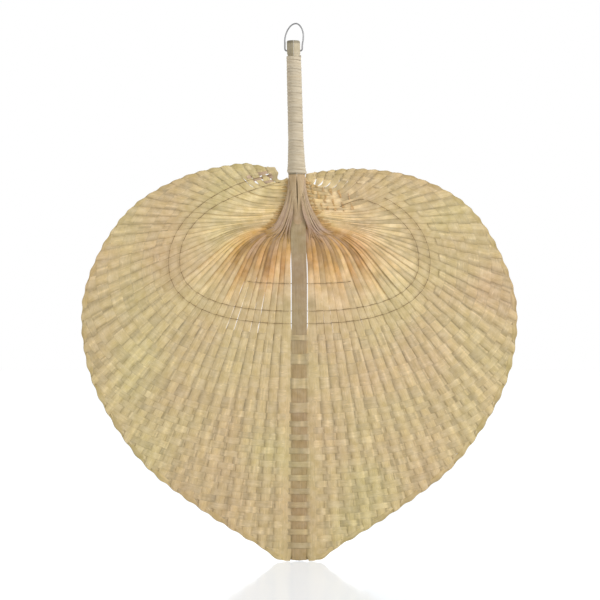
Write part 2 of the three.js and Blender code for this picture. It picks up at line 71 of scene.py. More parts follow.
# Course of the ribs on each side of the spine
RIB_COUNT = 34
FIRST_RIB_OFFSET = 10.2
RIB_REACH = 0.98
RIB_TURN = 2.05
RIB_TURN_GAIN = 0.05
LOBE_RIB_FROM = 28
LOBE_RIB_TURN = 1.0
LOBE_RIB_SPACING = 0.115
BEND_SHARE = [(26, 0.27), (31, 0.85)]
BEND_NEAR, BEND_FAR, BEND_TOP = np.array([(9.5, 18), (40, 19), (36, 48)])
BEND_FAR_FROM = 12
BEND_TOP_FROM = 26
BEND_STEPS = 60
HEADING_STEP = 0.5
LOBE_RIBS = 15
NECK_RIB = 34.5
RIBS_LAID = {-1: 40, 1: 42}
MOST_RIBS = 60
SEARCH_PAST = 30
SEARCH_STEP = 0.5

# Shape of a rib. Shares of the eye count from the outer thread, 0, to the neck, 1. A pair says where a change starts
# and ends, how far a chance value goes, or a value and what is added to it.
RIB_EYE_STATIONS = 34
RIB_WOVEN_STEP = 1.3
RIB_HALF_DEPTH = 0.75
RIB_EYE_THICKNESS = 0.6
RIB_EDGE = 0.14
RIB_ROUND = 2.6
RIB_SWAY = 0.2
RIB_WOVEN_WIDTH = 6.8
RIB_WOVEN_FILL = 0.93
RIB_ROOM = 12
RIB_EYE_FILL = 1.05
RIB_FILL_SPREAD = (-0.01, 0.08)
RIB_LEAST_REACH = (0.35, 0.4)
ROOT_PART = (0.75, 0.92)
RIB_END_TAPER = (0.15, 4)
RIB_TRIM = 8
RIB_TRIM_LIMITS = (-5, 1.5)
RIB_END = -0.3
FIRST_RIB_TUCK = 0.8
WOVEN_FROM = (-1, 6)
FREE_PART = ((0, 0.25), (0.55, 0.9))
CROOK_PART = ((0.42, 0.6), (0.86, 0.98))
FLANK_RIBS = ((8, 13), (26, 32))
RIB_LIFT = 0.5
RIB_TILT = {-1: 4.5, 1: 4}
RIB_TWIST = 6

# Round of a rib's section: shares of its half width, on the front and the back. The tones round it are painted shade
# at its edges and back, a painted highlight on its crest, and a painted highlight on its edge towards the spine
RIB_SECTION = [(-1, -1), (-0.87, -1), (-0.6, -1), (0, -1), (0.6, -1), (0.87, -1), (1, -1), (0.7, 1), (0, 1), (-0.7, 1)]
RIB_SECTION_SHADE = [-1.9, -1.2, 0.1, 1.0, 0.1, -1.2, -1.9, -0.5, -0.5, -0.5, -1.9]
RIB_LIT_TONE = [1, 0.7, 0, 0, 0, 0, 0, 0, 0, 0, 1]
SLIVER_DEPTH = (0.12, 0.28)
SLIVER_EDGE = 0.5

# Tones along a rib. Streaks and dashes have a pace and an amount.
# How strongly the painted shade and highlight round a rib's section show: dashed along the rib, weak in the eye, full
# in the weave and stronger in the crook and on the flanks, where they paint the shade between ribs
EDGE_SHADE_DASHES = (6, 0.9)
RIB_EDGE_SHADE = (0.15, 0.85)
CROOK_EDGE_SHADE = 1.4
FLANK_EDGE_SHADE = 1.2
RIB_STREAK = (8, 0.9)
FREE_TONE = 0.4
# Streaks along the ribs in the eye, stronger on the right: painted glints and shade
EYE_GLINT_AND_SHADE_STREAK = {-1: (7, 2.2), 1: (7, 4)}
OPEN_STREAK = (3.5, 4.5)
OPEN_DASHES = (3, 1.6)
# Painted highlights and shade on the bent ribs of the crook: at random per rib, and streaked along it
CROOK_LIGHT_AND_SHADE = 4
CROOK_LIGHT_AND_SHADE_STREAK = (5, 1.5)
LIT_RIBS = (8, 13)
LIT_INSIDE = (0.3, 0.55)
LIT_OUTSIDE = (15, 60)
LIT_TONE = (0, 4.5)
LIT_DASHES = (7, 0.8)
LIT_GAP = 0.105
WARM_FROM = [(1, 0.14), (5, 0.05), (12, -0.05), (18, 0), (26, 0.05)]
WARM_TO = (0.88, 1.12)
WARM_RISE = 0.75
WARM_MOST = 0.82
WARM_SPREAD = 0.12
LOBE_PALENESS = 0.62
LOBE_PALE_RIBS = (11, 24)

# Neck, where the culm is slit into the ribs: slit, height, half width and half depth of its rings, tone and place
NECK_RINGS = [
    (0.05, -112.8, 6.3, 6.2), (0.2, -116, 6.4, 6.1), (0.8, -120, 6.5, 5.8), (0.8, -130, 6.4, 4.8),
    (0.2, -136, 6.3, 3.6), (0.05, -142, 6.0, 2.2), (0.05, -147, 5.7, 1.3), (0.05, -152, 5.5, 0.9),
]
# A thin dark web behind the neck's strands, whose tone paints the shade in the gaps between them
SHADE_WEB_RINGS = [(0.3, -114, 5.9, 2.0), (0.3, -124, 7.4, 1.6), (0.3, -132, 9.2, 1.2), (0.3, -143, 13.4, 0.6),
             (0.3, -151, 18.2, 0.25), (0.3, -155, 20.2, 0.12)]
CORE_LOOK = (0.3, 1.0)
SHADE_WEB_LOOK = (-2.2, 0.72)
HALF_ROUND_STEPS = 24
ROOT_LINE = np.array([(7, -153.6), (19.6, -153.6), (17.1, -151), (11.6, -143), (7, -132), (6.3, -115.5)])
ROOT_SHARES = [(0.5, 0), (26, 0.43), (31, 0.62), (33.5, 0.98), (34.5, 1)]
NECK_REACH = {-1: 1.8, 1: 2.6}

# Strands of the neck: how far out and how high they start, by share of the ribs, and their course
STRAND_TOPS = [(0, 3.0, -129), (0.3, 5.6, -121), (1, 6.2, -114)]
STRAND_TOP_OUT = (-0.6, 0.2)
STRAND_TOP_DROP = (-4, 0)
STRAND_LEAST_FALL = 3
STRAND_LEAN = 0.32
STRAND_BELLY = (0.7, 0.6)
STRAND_ROOT_OUT = (-1.2, 0.6)
STRAND_ROOT_DEPTH = (0.9, 1.6)
STRAND_END_DEPTH = 0.4
STRAND_RUN = (7, 18)
STRAND_RUN_FALL = 0.7
STRAND_RUN_MOST = 0.7
STRAND_STEPS = 9
STRAND_WIDTHS = [(0, 0.15), (0.15, 0.36), (0.45, 0.5), (0.8, 0.5), (1, 0.15)]
STRAND_WIDTH_SPREAD = (0.7, 1.3)
STRAND_PLACES = [(0, 1), (0.55, 0.92), (1, 0.74)]
STRAND_END_FALL = 0.3
STRAND_PLACE_SPREAD = 0.06
STRAND_TONE = (-3, 1.6)
STRAND_TONE_FALL = 0.6

# Beside the neck the ribs lie open, held by short strips: first rib, where the ribs open and close, where strips cross
LOOSE = {-1: (37, -8, 6, [-4.6, -0.8, 3.0]), 1: (31, 3, 42, [5, 9.5, 14, 19, 25, 32])}
LOOSE_FILL = {-1: 0.22, 1: 0.035}
LOOSE_WIDTH = {-1: 2.4, 1: 0.9}
LOOSE_BEAT = {-1: 2, 1: 3}
LOOSE_TONE = {-1: 1.2, 1: -1.2}
LOOSE_PLACE = {-1: 0.88, 1: 0.5}
LOOSE_STREAK = (9, 1.5)
LOOSE_UNEVEN = 0.9
LOOSE_CLEAR = 3
LOOSE_SECTION = [(0, 0.04), (0.15, 0), (0.5, -0.05), (0.85, 0), (1, 0.04)]
OPEN_RIBS = 2
OPEN_RISE = 3
OPEN_FALL = 4

# Central spine
SPINE_WIDTH = 11.3
SPINE_TAPER = 0.08
SPINE_TAPER_LENGTH = 40
SPINE_HALF_DEPTH = 0.8
SPINE_CROWN = 0.25
SPINE_CROWN_POWER = 3
SPINE_SECTION = (-1, -0.94, -0.6, -0.2, 0.2, 0.6, 0.94, 1)
SPINE_STATIONS = 120
SPINE_STREAK = (5, 0.5)
SPINE_TOP_Z = -114
SPINE_END_GAP = 1.2
SPINE_SIDE_GAP = 0.9
SPINE_GAP_FALL = (165, 182)

# Weft rows, as distances along the ribs from the outer thread
WEFT_HALF_DEPTH = 0.15
WEFT_CROWN = 0.06
WEFT_GROOVE = 0.04
SLIVER_SECTION = [(0.04, WEFT_GROOVE), (0.16, 0), (0.5, -WEFT_CROWN), (0.84, 0), (0.96, WEFT_GROOVE)]
WIDE_SLIVERS = 3
NARROW_SLIVERS = 2
CLEARANCE = 0.03
FIRST_ROW_START = 8
FIRST_ROW_PITCH = 5
WIDE_ROW_COUNT = 6
WIDE_ROW_PITCH = 9.1
NARROW_ROW_COUNT = 21
LAST_ROW_OVERLAP = 1.5
ROW_OVERRUN = 1.5
ROW_UNEVEN = 0.35
SQUEEZE_LENGTH = 38
RUN_OUT = 0.97
RUN_OUT_LEAST = 0.2
STEP_SHARES = np.array([0, 0.15, 0.3, 0.42, 0.5, 0.58, 0.7, 0.85])
STEP_LATEST = 0.8
STEP_LEAST = 0.1
SPINE_PINCH = 0.09
SPINE_STAIN = 2.4
ROW_TONE = 0.5
ROW_STREAK = (6, 1.1)
ROW_EDGE_TONE = -1.5
ROW_EDGE_DASHES = (5, 1.0)
# Painted highlight on the weft's crest over a rib and painted shade in the valley between two ribs, by share of each
# gap, and how strong it is at each crossing
CREST_AND_VALLEY_SHADE = (1.2, 0.8, -0.2, -1.3, -1.9, -1.3, -0.2, 0.8)
CREST_AND_VALLEY_SPREAD = (0.2, 1.3)
# Random dashes across the weft and their chances: the bright ones are painted highlights on its crests, the dark ones
# darken it
HIGHLIGHT_AND_DARK_DASHES = (0, 2.6, -2.0)
DASH_CHANCES = (0.8, 0.12, 0.08)

# Edging strip
EDGING_WIDTH = 3
EDGING_INSET = 0.7
EDGING_COVER = 0.9
EDGING_START = 0.2
EDGING_PAST = 0.9
EDGING_PAST_SPINE = 0.6
EDGING_SHADE = 1.6
EDGING_SHADE_FROM = 0.5
EDGING_STREAK = (9, 0.8)
SCALLOP = 1.0

# Binding threads, by their distance inside the outer one and the last ribs that they reach, left and right
THREADS = {"inner_thread": (30, 8, 8), "middle_thread": (9.4, 40, 33), "outer_thread": (0, 40, 32)}
THREAD_RADII = (0.2, 0.12)
THREAD_SIDES = 6
THREAD_LIFT = 0.45
THREAD_CROWN = 0.1
THREAD_TAIL = ("middle_thread", [(49, -131.2), (41, -133.4), (33, -136.8)], -1.15)
TAIL_STEPS = 6

# Handle: height, radius and tone of its rings, from the neck up to the butt
HANDLE_LEAN = 1.45
LEAN_FROM_Z = -190
GRIP_TOP_Z = -23
GRIP_LENGTH = 89.5
HANDLE_RINGS = [(-112.5, 6.6, 0), (-106, 5.6, 0), (-86, 4.8, 0), (-23, 4.5, 0), (-22.3, 5, 0), (-15, 5, 0),
                (-14.3, 5, -3), (-12.9, 4.9, -3.6), (-12.5, 4.5, -3.6)]
# Place of each handle half on the culm colours: the left half is painted in shade, the right half painted as lit
HANDLE_SHADE_PLACE = {-1: 0.1, 1: 0.9}
SLIT = 0.1
HOLE_Z = -20
HOLE_RADIUS = 0.85
HOLE_SIDES = 24
DRILL_LENGTH = 40

# Grip cord
CORD_TURNS = 39
CORD_THICKNESS = 0.8
CORD_STEPS = 30
CORD_SIDES = 10
CORD_UNEVEN = 0.16
CORD_SWELL = (-0.05, 0.12)
CORD_GAP = 0.15
CORD_HALF_WIDTH = 0.56

# Wire loop: across and up, from its left end in the butt's hole to its right one
WIRE_RADIUS = 0.55
WIRE_SIDES = 14
WIRE_END_GAP = 0.25
LOOP_CURVES = [
    [(-6.4, -20), (-8.4, -20), (-8.4, -18)],
    [(-8.4, -12.5), (-8.4, -7), (-4.8, 0.55), (0, 0.55)],
    [(0, 0.55), (2.9, 0.55), (5.5, -4.2), (5.5, -8.5)],
    [(5.5, -8.5), (5.5, -13.25), (4.7, -13.25), (4.7, -18)],
    [(4.7, -18), (4.7, -20), (2.7, -20)],
]
CURVE_STEPS = 14

# Finishes: colours as they are seen, 0 to 255, by place. The ribs' places run from the weave, 0, to the neck, 1.
RIB_COLOURS = [(0, (208, 186, 139)), (0.12, (219, 196, 149)), (0.42, (215, 184, 130)), (0.6, (199, 159, 99)),
               (0.74, (180, 144, 91)), (0.88, (184, 156, 132)), (1, (186, 161, 126))]
SPINE_COLOURS = [(0, (169, 149, 113)), (1, (175, 151, 110))]
# The culm has a shaded colour, 0, and a lit colour, 1: painted shade and light for the handle's two halves
CULM_SHADE_AND_LIGHT_COLOURS = [(0, (160, 147, 122)), (1, (200, 186, 160))]
WEFT_COLOURS = [(place, (205, 184, 140)) for place in (0, 1)]
EDGING_COLOURS = [(place, (200, 178, 128)) for place in (0, 1)]
THREAD_COLOURS = [(0.3, (112, 88, 58)), (0.7, (158, 130, 90))]
CORD_COLOURS = [(0.3, (196, 180, 152)), (0.65, (214, 202, 179))]
WIRE_COLOURS = [(0.3, (128, 128, 130)), (0.7, (158, 158, 158))]
STREAK_RANGE = (0.25, 0.75)
PATCH_RANGE = (0.3, 0.7)
BROAD_STREAKS = 0.55
FINE_STREAKS = 0.45
FLECK_RANGE = (0.60, 0.74)
FLECK_RELIEF = 0.35
GLINT_RANGE = (0.62, 0.76)
HUE_RANGE = (0.484, 0.513)
SATURATION_RANGE = (1.08, 0.92)
CORD_STREAK = (0.84, 1.1)
CORD_TONE = (0.92, 1.05)
WIRE_ROUGHNESS = (0.4, 0.55)
TONE_LIMIT = 4
MAP_UNIT = 10
MAP_SPREAD = 90
SEAM = 0.005

# View of the photograph: millimetres to a pixel, and the point at the middle of the frame
PIXEL = 0.75
FRAME_PIXELS = 600
VIEW_CENTRE = (3.0, -206.8)
LENS = 120
SENSOR = 36

# Stage, in metres, and lamps by place, size and power
FLOOR_Z = -402.6 * MM
FLOOR_SIZE = 8
FLOOR_GLOW = {"Color": (0.94, 1, 1.07, 1), "Strength": 1.44}
FLOOR_GLOW_SHARE = 0.36
WORLD_LIGHT = 0.42
LAMPS = {
    "key": ((1.6, -1.0, 0.45), 0.8, 25.5),
    "fill": ((-1.5, -1.0, 0.0), 1.4, 12.2),
    "back": ((-0.5, 1.8, 0.5), 1.4, 9),
}


# Lines in the blade plane

def spline(points, shares):
    """Smooth line through points, sampled at shares of the way between each two."""
    p = np.asarray(points, float)
    p = np.concatenate([p[:1], p, p[-1:]])
    t = np.asarray(shares, float).reshape(-1, *[1] * (p.ndim - 1))
    parts = []
    for i in range(1, len(p) - 2):
        leave = (p[i + 1] - p[i - 1]) / 2
        arrive = (p[i + 2] - p[i]) / 2
        step = p[i + 1] - p[i]
        parts.append(p[i] + leave * t + (3 * step - 2 * leave - arrive) * t**2 + (leave + arrive - 2 * step) * t**3)
    return np.concatenate([*parts, p[-1:]])


def points_at(*axes):
    """Points from their values along each axis."""
    return np.stack(np.broadcast_arrays(*axes), -1)


def lengths(line):
    return np.concatenate([[0], np.cumsum(np.linalg.norm(np.diff(line, axis=0), axis=1))])


def walk(line, distance):
    """Points at distances along a line."""
    run = lengths(line)
    return points_at(*(np.interp(distance, run, values) for values in line.T))


def unit(vectors):
    return vectors / np.linalg.norm(vectors, axis=1)[:, None]


def stand(flat, depth):
    """Points of the blade plane, moved back by a depth."""
    return points_at(flat[..., 0], depth, flat[..., 1])


def ease(low, high, value):
    """0 below low, 1 above high, smooth between."""
    t = np.clip((np.asarray(value, float) - low) / (high - low), 0, 1)
    return t * t * (3 - 2 * t)


def between(rise, fall, value):
    """1 between two ranges, 0 outside them, smooth in each."""
    return ease(*rise, value) * (1 - ease(*fall, value))


def draw(limits):
    return chance.uniform(*limits)


def jitter(amount):
    return chance.uniform(-amount, amount)


def look_up(table, value):
    """Value from a table of pairs."""
    return np.interp(value, *zip(*table))


def wander(distance, pace, amount):
    """Slow chance change along a line, with a new value at each pace."""
    knots = np.arange(distance.min() - pace, distance.max() + 2 * pace, pace)
    return np.interp(distance, knots, chance.uniform(-amount, amount, len(knots)))


def blade(side, point):
    u, w = point
    rise = w * (1 - side * (LOBE_SKEW - LOBE_SKEW_FALL * u / BLADE_HALF_WIDTH)) if w > 0 else w
    return np.array([SPINE_X + side * u, EYE_Z + rise])


def handle_x(z):
    return SPINE_X - np.maximum(0, np.asarray(z, float) - LEAN_FROM_Z) * math.tan(math.radians(HANDLE_LEAN))


def eye_point(angle):
    across, down = math.sin(angle), math.cos(angle)
    if down < 0:
        return EYE_HALF_WIDTH * across, -(LOBE_RISE - LOBE_BAND) * down
    return EYE_HALF_WIDTH * across**EYE_FLATNESS, -EYE_DROP * down**EYE_FLATNESS


def rim_line(side):
    shape = [(u * BLADE_HALF_WIDTH, w * (LOBE_RISE if w > 0 else TIP_DROP)) for u, w in RIM_STARTS[side] + RIM_SHAPE]
    return np.array([blade(side, point) for point in spline(shape, np.arange(RIM_STEPS) / RIM_STEPS)])


RIMS = {side: rim_line(side) for side in SIDES}
EYE_EDGE = np.array([eye_point(math.radians(EYE_END_ANGLE) * step / EYE_STEPS) for step in range(EYE_STEPS + 1)])


def distance_to_rim(side, start, heading):
    rim = RIMS[side]
    edge = np.diff(rim, axis=0)
    gap = rim[:-1] - start
    slant = heading[0] * edge[:, 1] - heading[1] * edge[:, 0]
    out = (gap[:, 0] * edge[:, 1] - gap[:, 1] * edge[:, 0]) / slant
    share = (gap[:, 0] * heading[1] - gap[:, 1] * heading[0]) / slant
    return out[(share >= 0) & (share <= 1) & (out > 0)].min(initial=RIM_SEARCH)


def rib_place(k):
    return k - 1 + LOBE_RIB_SPACING * max(0, k - BEND_TOP_FROM) ** 2


def rib_bend(k):
    if k <= BEND_FAR_FROM:
        return BEND_NEAR + (BEND_FAR - BEND_NEAR) * (k - 1) / (BEND_FAR_FROM - 1)
    return BEND_FAR + (BEND_TOP - BEND_FAR) * max(0, (k - BEND_TOP_FROM) / (RIB_COUNT - BEND_TOP_FROM))


class Rib:
    """A rib's middle line. Distances count from the outer thread, below zero inside the eye."""

    def __init__(self, side, index, k):
        eye_length = lengths(EYE_EDGE)[-1]
        first = FIRST_RIB_OFFSET / eye_length
        share = first + (RIB_REACH - first) * rib_place(k) / rib_place(RIB_COUNT)
        on_eye = walk(EYE_EDGE, share * eye_length)
        angle = math.radians(RIB_TURN * k + RIB_TURN_GAIN * k**2 + LOBE_RIB_TURN * max(0, k - LOBE_RIB_FROM) ** 2)
        heading = np.array([math.sin(angle), -math.cos(angle)])
        bend = on_eye + heading * np.dot(rib_bend(k) - on_eye, heading)
        out, z = walk(ROOT_LINE, look_up(ROOT_SHARES, k) * lengths(ROOT_LINE)[-1])
        self.side, self.index = side, index
        self.root = np.array([handle_x(z) + side * out, z])
        self.start = blade(side, on_eye)
        ahead = blade(side, on_eye + HEADING_STEP * heading) - self.start
        self.heading = ahead / np.linalg.norm(ahead)
        self.length = distance_to_rim(side, self.start, self.heading)
        t = np.linspace(0, 1, BEND_STEPS)[:, None]
        bend = blade(side, bend)
        elbow = bend + look_up(BEND_SHARE, k) * (self.start - bend)
        curve = (1 - t) ** 2 * self.root + 2 * t * (1 - t) * bend + t**2 * elbow
        self.bent = np.concatenate([curve, [self.start]])
        self.bent_length = lengths(self.bent)[-1]

    def at(self, distance):
        distance = np.asarray(distance, float)
        inside = walk(self.bent, self.bent_length + np.minimum(distance, 0))
        return inside + self.heading * np.maximum(distance, 0)[..., None]

    def room(self):
        """Distance as far as the edging strip."""
        return self.length - EDGING_INSET - EDGING_WIDTH

    def cover(self):
        """Distance as far as a row can run in under the edging strip."""
        return self.room() + EDGING_COVER * EDGING_WIDTH

    def squeeze(self):
        """How much closer the rows lie where the lobe leaves little room."""
        return min(1, self.length / SQUEEZE_LENGTH)


def rib_numbers(side):
    """Numbers of the ribs, with finer steps round the lobes for an even spacing."""
    places = np.linspace(rib_place(BEND_TOP_FROM), rib_place(RIB_COUNT), LOBE_RIBS + 1)[1:]
    past = places - rib_place(BEND_TOP_FROM)
    lobe = BEND_TOP_FROM + (np.sqrt(1 + 4 * LOBE_RIB_SPACING * past) - 1) / (2 * LOBE_RIB_SPACING)
    return [*range(1, BEND_TOP_FROM + 1), *lobe, NECK_RIB][:RIBS_LAID[side]]


ribs = {side: [Rib(side, index, k) for index, k in enumerate(rib_numbers(side), 1)] for side in SIDES}
SPINE_START_Z = EYE_Z - EYE_DROP
SPINE_LENGTH = TIP_DROP - EYE_DROP - SPINE_END_GAP


def spine_point(distance):
    z = SPINE_START_Z - np.asarray(distance, float)
    return points_at(handle_x(z), z)


def spine_half_width(z):
    """The spine grows a little narrower where the weave begins."""
    return SPINE_WIDTH / 2 * (1 - SPINE_TAPER * ease(0, SPINE_TAPER_LENGTH, SPINE_START_Z - z))


def half_rooms(rib, distance):
    """Room along a rib, on its side towards the spine and on its other side."""
    here = rib.at(distance)
    found = []
    for other in (rib.index - 1, rib.index + 1):
        if other == 0:
            gap = SPINE_SIDE_GAP * ease(*SPINE_GAP_FALL, -here[:, 1]) * (1 - ease(0, FIRST_ROW_START, distance))
            found.append(np.abs(here[:, 0] - handle_x(here[:, 1])) - spine_half_width(here[:, 1]) - gap)
        elif other <= len(ribs[rib.side]):
            line = ribs[rib.side][other - 1]
            beside = line.at(np.arange(-line.bent_length, line.length + SEARCH_PAST, SEARCH_STEP))
            found.append(np.linalg.norm(here[:, None] - beside[None], axis=2).min(axis=1) / 2)
        else:
            found.append(found[0] * NECK_REACH[rib.side])
    return found


# Rows of the weave

ROW_COUNT = 1 + WIDE_ROW_COUNT + NARROW_ROW_COUNT
NARROW_START = FIRST_ROW_START + FIRST_ROW_PITCH + WIDE_ROW_COUNT * WIDE_ROW_PITCH
TIP_ROOM = min(ribs[side][0].room() for side in SIDES)
NARROW_ROW_PITCH = (TIP_ROOM + LAST_ROW_OVERLAP - NARROW_START) / NARROW_ROW_COUNT
PITCHES = [FIRST_ROW_PITCH] + [WIDE_ROW_PITCH] * WIDE_ROW_COUNT + [NARROW_ROW_PITCH] * NARROW_ROW_COUNT
ROW_EDGES = np.cumsum([FIRST_ROW_START, *PITCHES])
ROW_MIDDLES = (ROW_EDGES[1:] + ROW_EDGES[:-1]) / 2
UNEVEN = chance.uniform(-ROW_UNEVEN, ROW_UNEVEN, (ROW_COUNT + 1, len(SIDES), MOST_RIBS))


def row_edges_at(row, rib):
    """Edges of a row where it crosses a rib, a little uneven and as far as the edging at most."""
    edges = slice(row, row + 2)
    low, high = (ROW_EDGES[edges] + UNEVEN[edges, SIDES.index(rib.side), rib.index]) * rib.squeeze()
    return low, min(high, rib.cover())


def row_face(row, k):
    """-1 where a row passes in front of a rib (0 is the spine), 1 where it passes behind."""
    return -1 if (row + 1 + k) % 2 else 1


def rib_sway(rib, distance):
    """Depth of a rib, which gives way a little to each row."""
    depths = np.array([0, *(-RIB_SWAY * row_face(row, rib.index) for row in range(ROW_COUNT))])
    places = np.concatenate([[0], ROW_MIDDLES]) * rib.squeeze()
    index = np.clip(np.searchsorted(places, distance) - 1, 0, len(places) - 2)
    share = ease(0, 1, (distance - places[index]) / (places[index + 1] - places[index]))
    return depths[index] + (depths[index + 1] - depths[index]) * share


# Mesh helpers

def pick(piece):
    """Selects one piece only and makes it active."""
    bpy.ops.object.select_all(action="DESELECT")
    bpy.context.view_layer.objects.active = piece
    piece.select_set(True)


def lay_grid(name, points, along, across, tone, place):
    """Sheet through a grid of points, with a map in centimetres and marks on its vertices for the material."""
    offset = chance.uniform(0, MAP_SPREAD, 2)
    mapping = points_at(along / MAP_UNIT + offset[0], across[:, None] / MAP_UNIT + offset[1])
    rows, columns = points.shape[:2]
    bpy.ops.mesh.primitive_grid_add(x_subdivisions=columns - 1, y_subdivisions=rows - 1)
    sheet = bpy.context.object
    sheet.name = sheet.data.name = name
    mesh = sheet.data
    mesh.vertices.foreach_set("co", (points * MM).astype(np.float32).ravel())
    corners = np.zeros(len(mesh.loops), int)
    mesh.loops.foreach_get("vertex_index", corners)
    mesh.uv_layers.active.data.foreach_set("uv", mapping.reshape(-1, 2)[corners].astype(np.float32).ravel())
    mesh.update()
    for mark, values in {"tone": tone, "place": place}.items():
        if values is not None:
            layer = mesh.attributes.new(mark, "FLOAT", "POINT")
            layer.data.foreach_set("value", np.broadcast_to(values, points.shape[:2]).astype(np.float32).ravel())
    return sheet


def apply_modifier(piece, kind, **settings):
    pick(piece)
    modifier = piece.modifiers.new(kind.title(), kind)
    for name, value in settings.items():
        setattr(modifier, name, value)
    bpy.ops.object.modifier_apply(modifier=modifier.name)


def close_tube(piece):
    """Merges the seam, fills the ends and points the normals outwards."""
    pick(piece)
    bpy.ops.object.mode_set(mode="EDIT")
    bpy.ops.mesh.select_all(action="SELECT")
    bpy.ops.mesh.remove_doubles(threshold=SEAM * MM)
    bpy.ops.mesh.fill_holes(sides=0)
    bpy.ops.mesh.select_all(action="SELECT")
    bpy.ops.mesh.normals_make_consistent(inside=False)
    bpy.ops.object.mode_set(mode="OBJECT")


def lay_strip(name, points, tone, place=None, thickness=2 * WEFT_HALF_DEPTH):
    """Strip of bamboo: a sheet across and along the points, given its thickness."""
    strip = lay_grid(name, points, lengths(points.mean(axis=0)), lengths(points.mean(axis=1)), tone, place)
    apply_modifier(strip, "SOLIDIFY", thickness=thickness * MM, offset=0)
    return strip


def roll_tube(name, rings, tone=0.0, place=None):
    """Closed tube through rings of points."""
    closed = np.concatenate([rings, rings[:, :1]], axis=1).swapaxes(0, 1)
    tube = lay_grid(name, closed, lengths(rings.mean(axis=1)), lengths(closed[:, len(rings) // 2]), tone, place)
    close_tube(tube)
    return tube


def join(name, parts):
    pick(parts[0])
    for part in parts:
        part.select_set(True)
    bpy.ops.object.join()
    parts[0].name = parts[0].data.name = name
    return parts[0]


def dress(piece, slot, *nodes, body="fan", angle=40):
    """Smooths a piece, gives it its finish and its body, and hides the solids that it stands for."""
    pick(piece)
    bpy.ops.object.shade_smooth_by_angle(angle=math.radians(angle))
    piece.data.materials.clear()
    piece.data.materials.append(FINISHES[slot])
    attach(piece, body)
    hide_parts(*nodes)


# Finishes

def linear(colour):
    """Colour as it is seen, 0 to 255, as the shader takes it."""
    values = (channel / 255 for channel in colour)
    return (*(v / 12.92 if v <= 0.04045 else ((v + 0.055) / 1.055) ** 2.4 for v in values), 1.0)


def feed(tree, made, values):
    """Links a node's inputs to sockets, or sets their values."""
    for name, value in values.items():
        if isinstance(value, bpy.types.NodeSocket):
            tree.links.new(value, made.inputs[name])
        else:
            made.inputs[name].default_value = value


def node(tree, kind, values=None, **settings):
    made = tree.nodes.new(kind)
    for name, value in settings.items():
        setattr(made, name, value)
    feed(tree, made, values or {})
    return made


def math_node(tree, operation, *values):
    return node(tree, "ShaderNodeMath", dict(enumerate(values)), operation=operation).outputs[0]


def ramp(tree, value, stops):
    made = node(tree, "ShaderNodeValToRGB", {"Fac": value})
    elements = made.color_ramp.elements
    while len(elements) < len(stops):
        elements.new(0.5)
    for element, (position, colour) in zip(elements, stops):
        element.position = position
        element.color = linear(colour)
    return made.outputs["Color"]


def spread(tree, value, low, high, to_low, to_high):
    """Value from one range as a value in another."""
    values = {"Value": value, "From Min": low, "From Max": high, "To Min": to_low, "To Max": to_high}
    return node(tree, "ShaderNodeMapRange", values).outputs["Result"]


def noise(tree, vector, scale, detail, roughness=0.5):
    values = {"Vector": vector, "Scale": scale, "Detail": detail, "Roughness": roughness}
    return node(tree, "ShaderNodeTexNoise", values).outputs[0]


def stretched_noise(tree, vector, along, across, detail):
    scaled = node(tree, "ShaderNodeVectorMath", {0: vector, 1: (along, across, 1)}, operation="MULTIPLY")
    return noise(tree, scaled.outputs[0], 1, detail, roughness=0.6)


def vertex_value(tree, name):
    return node(tree, "ShaderNodeAttribute", attribute_name=name).outputs["Fac"]


def bump(tree, height, distance, strength):
    values = {"Height": height, "Distance": distance, "Strength": strength}
    return node(tree, "ShaderNodeBump", values).outputs["Normal"]


def make_fibre_group():
    """Fibres that run along a strip: soft streaks, short dark flecks, bright glints and their relief."""
    group = bpy.data.node_groups.new("bamboo_fibre", "ShaderNodeTree")
    group.interface.new_socket("Map", in_out="INPUT", socket_type="NodeSocketVector")
    for name in ("Streak", "Fleck", "Glint", "Relief"):
        group.interface.new_socket(name, in_out="OUTPUT", socket_type="NodeSocketFloat")
    vector = node(group, "NodeGroupInput").outputs["Map"]
    broad = stretched_noise(group, vector, along=0.5, across=9, detail=3)
    fine = stretched_noise(group, vector, along=0.35, across=42, detail=2)
    specks = stretched_noise(group, vector, along=2.4, across=60, detail=1)
    shine = stretched_noise(group, vector, along=2.2, across=11, detail=1)
    streak = math_node(group, "ADD", math_node(group, "MULTIPLY", broad, BROAD_STREAKS),
                       math_node(group, "MULTIPLY", fine, FINE_STREAKS))
    fleck = spread(group, specks, *FLECK_RANGE, 0, 1)
    glint = spread(group, shine, *GLINT_RANGE, 0, 1)
    relief = math_node(group, "SUBTRACT", fine, math_node(group, "MULTIPLY", fleck, FLECK_RELIEF))
    node(group, "NodeGroupOutput", {"Streak": streak, "Fleck": fleck, "Glint": glint, "Relief": relief})
    return group


def new_material(name):
    material = bpy.data.materials.new(name)
    material.use_nodes = True
    return material, material.node_tree, material.node_tree.nodes["Principled BSDF"]


FIBRE = make_fibre_group()


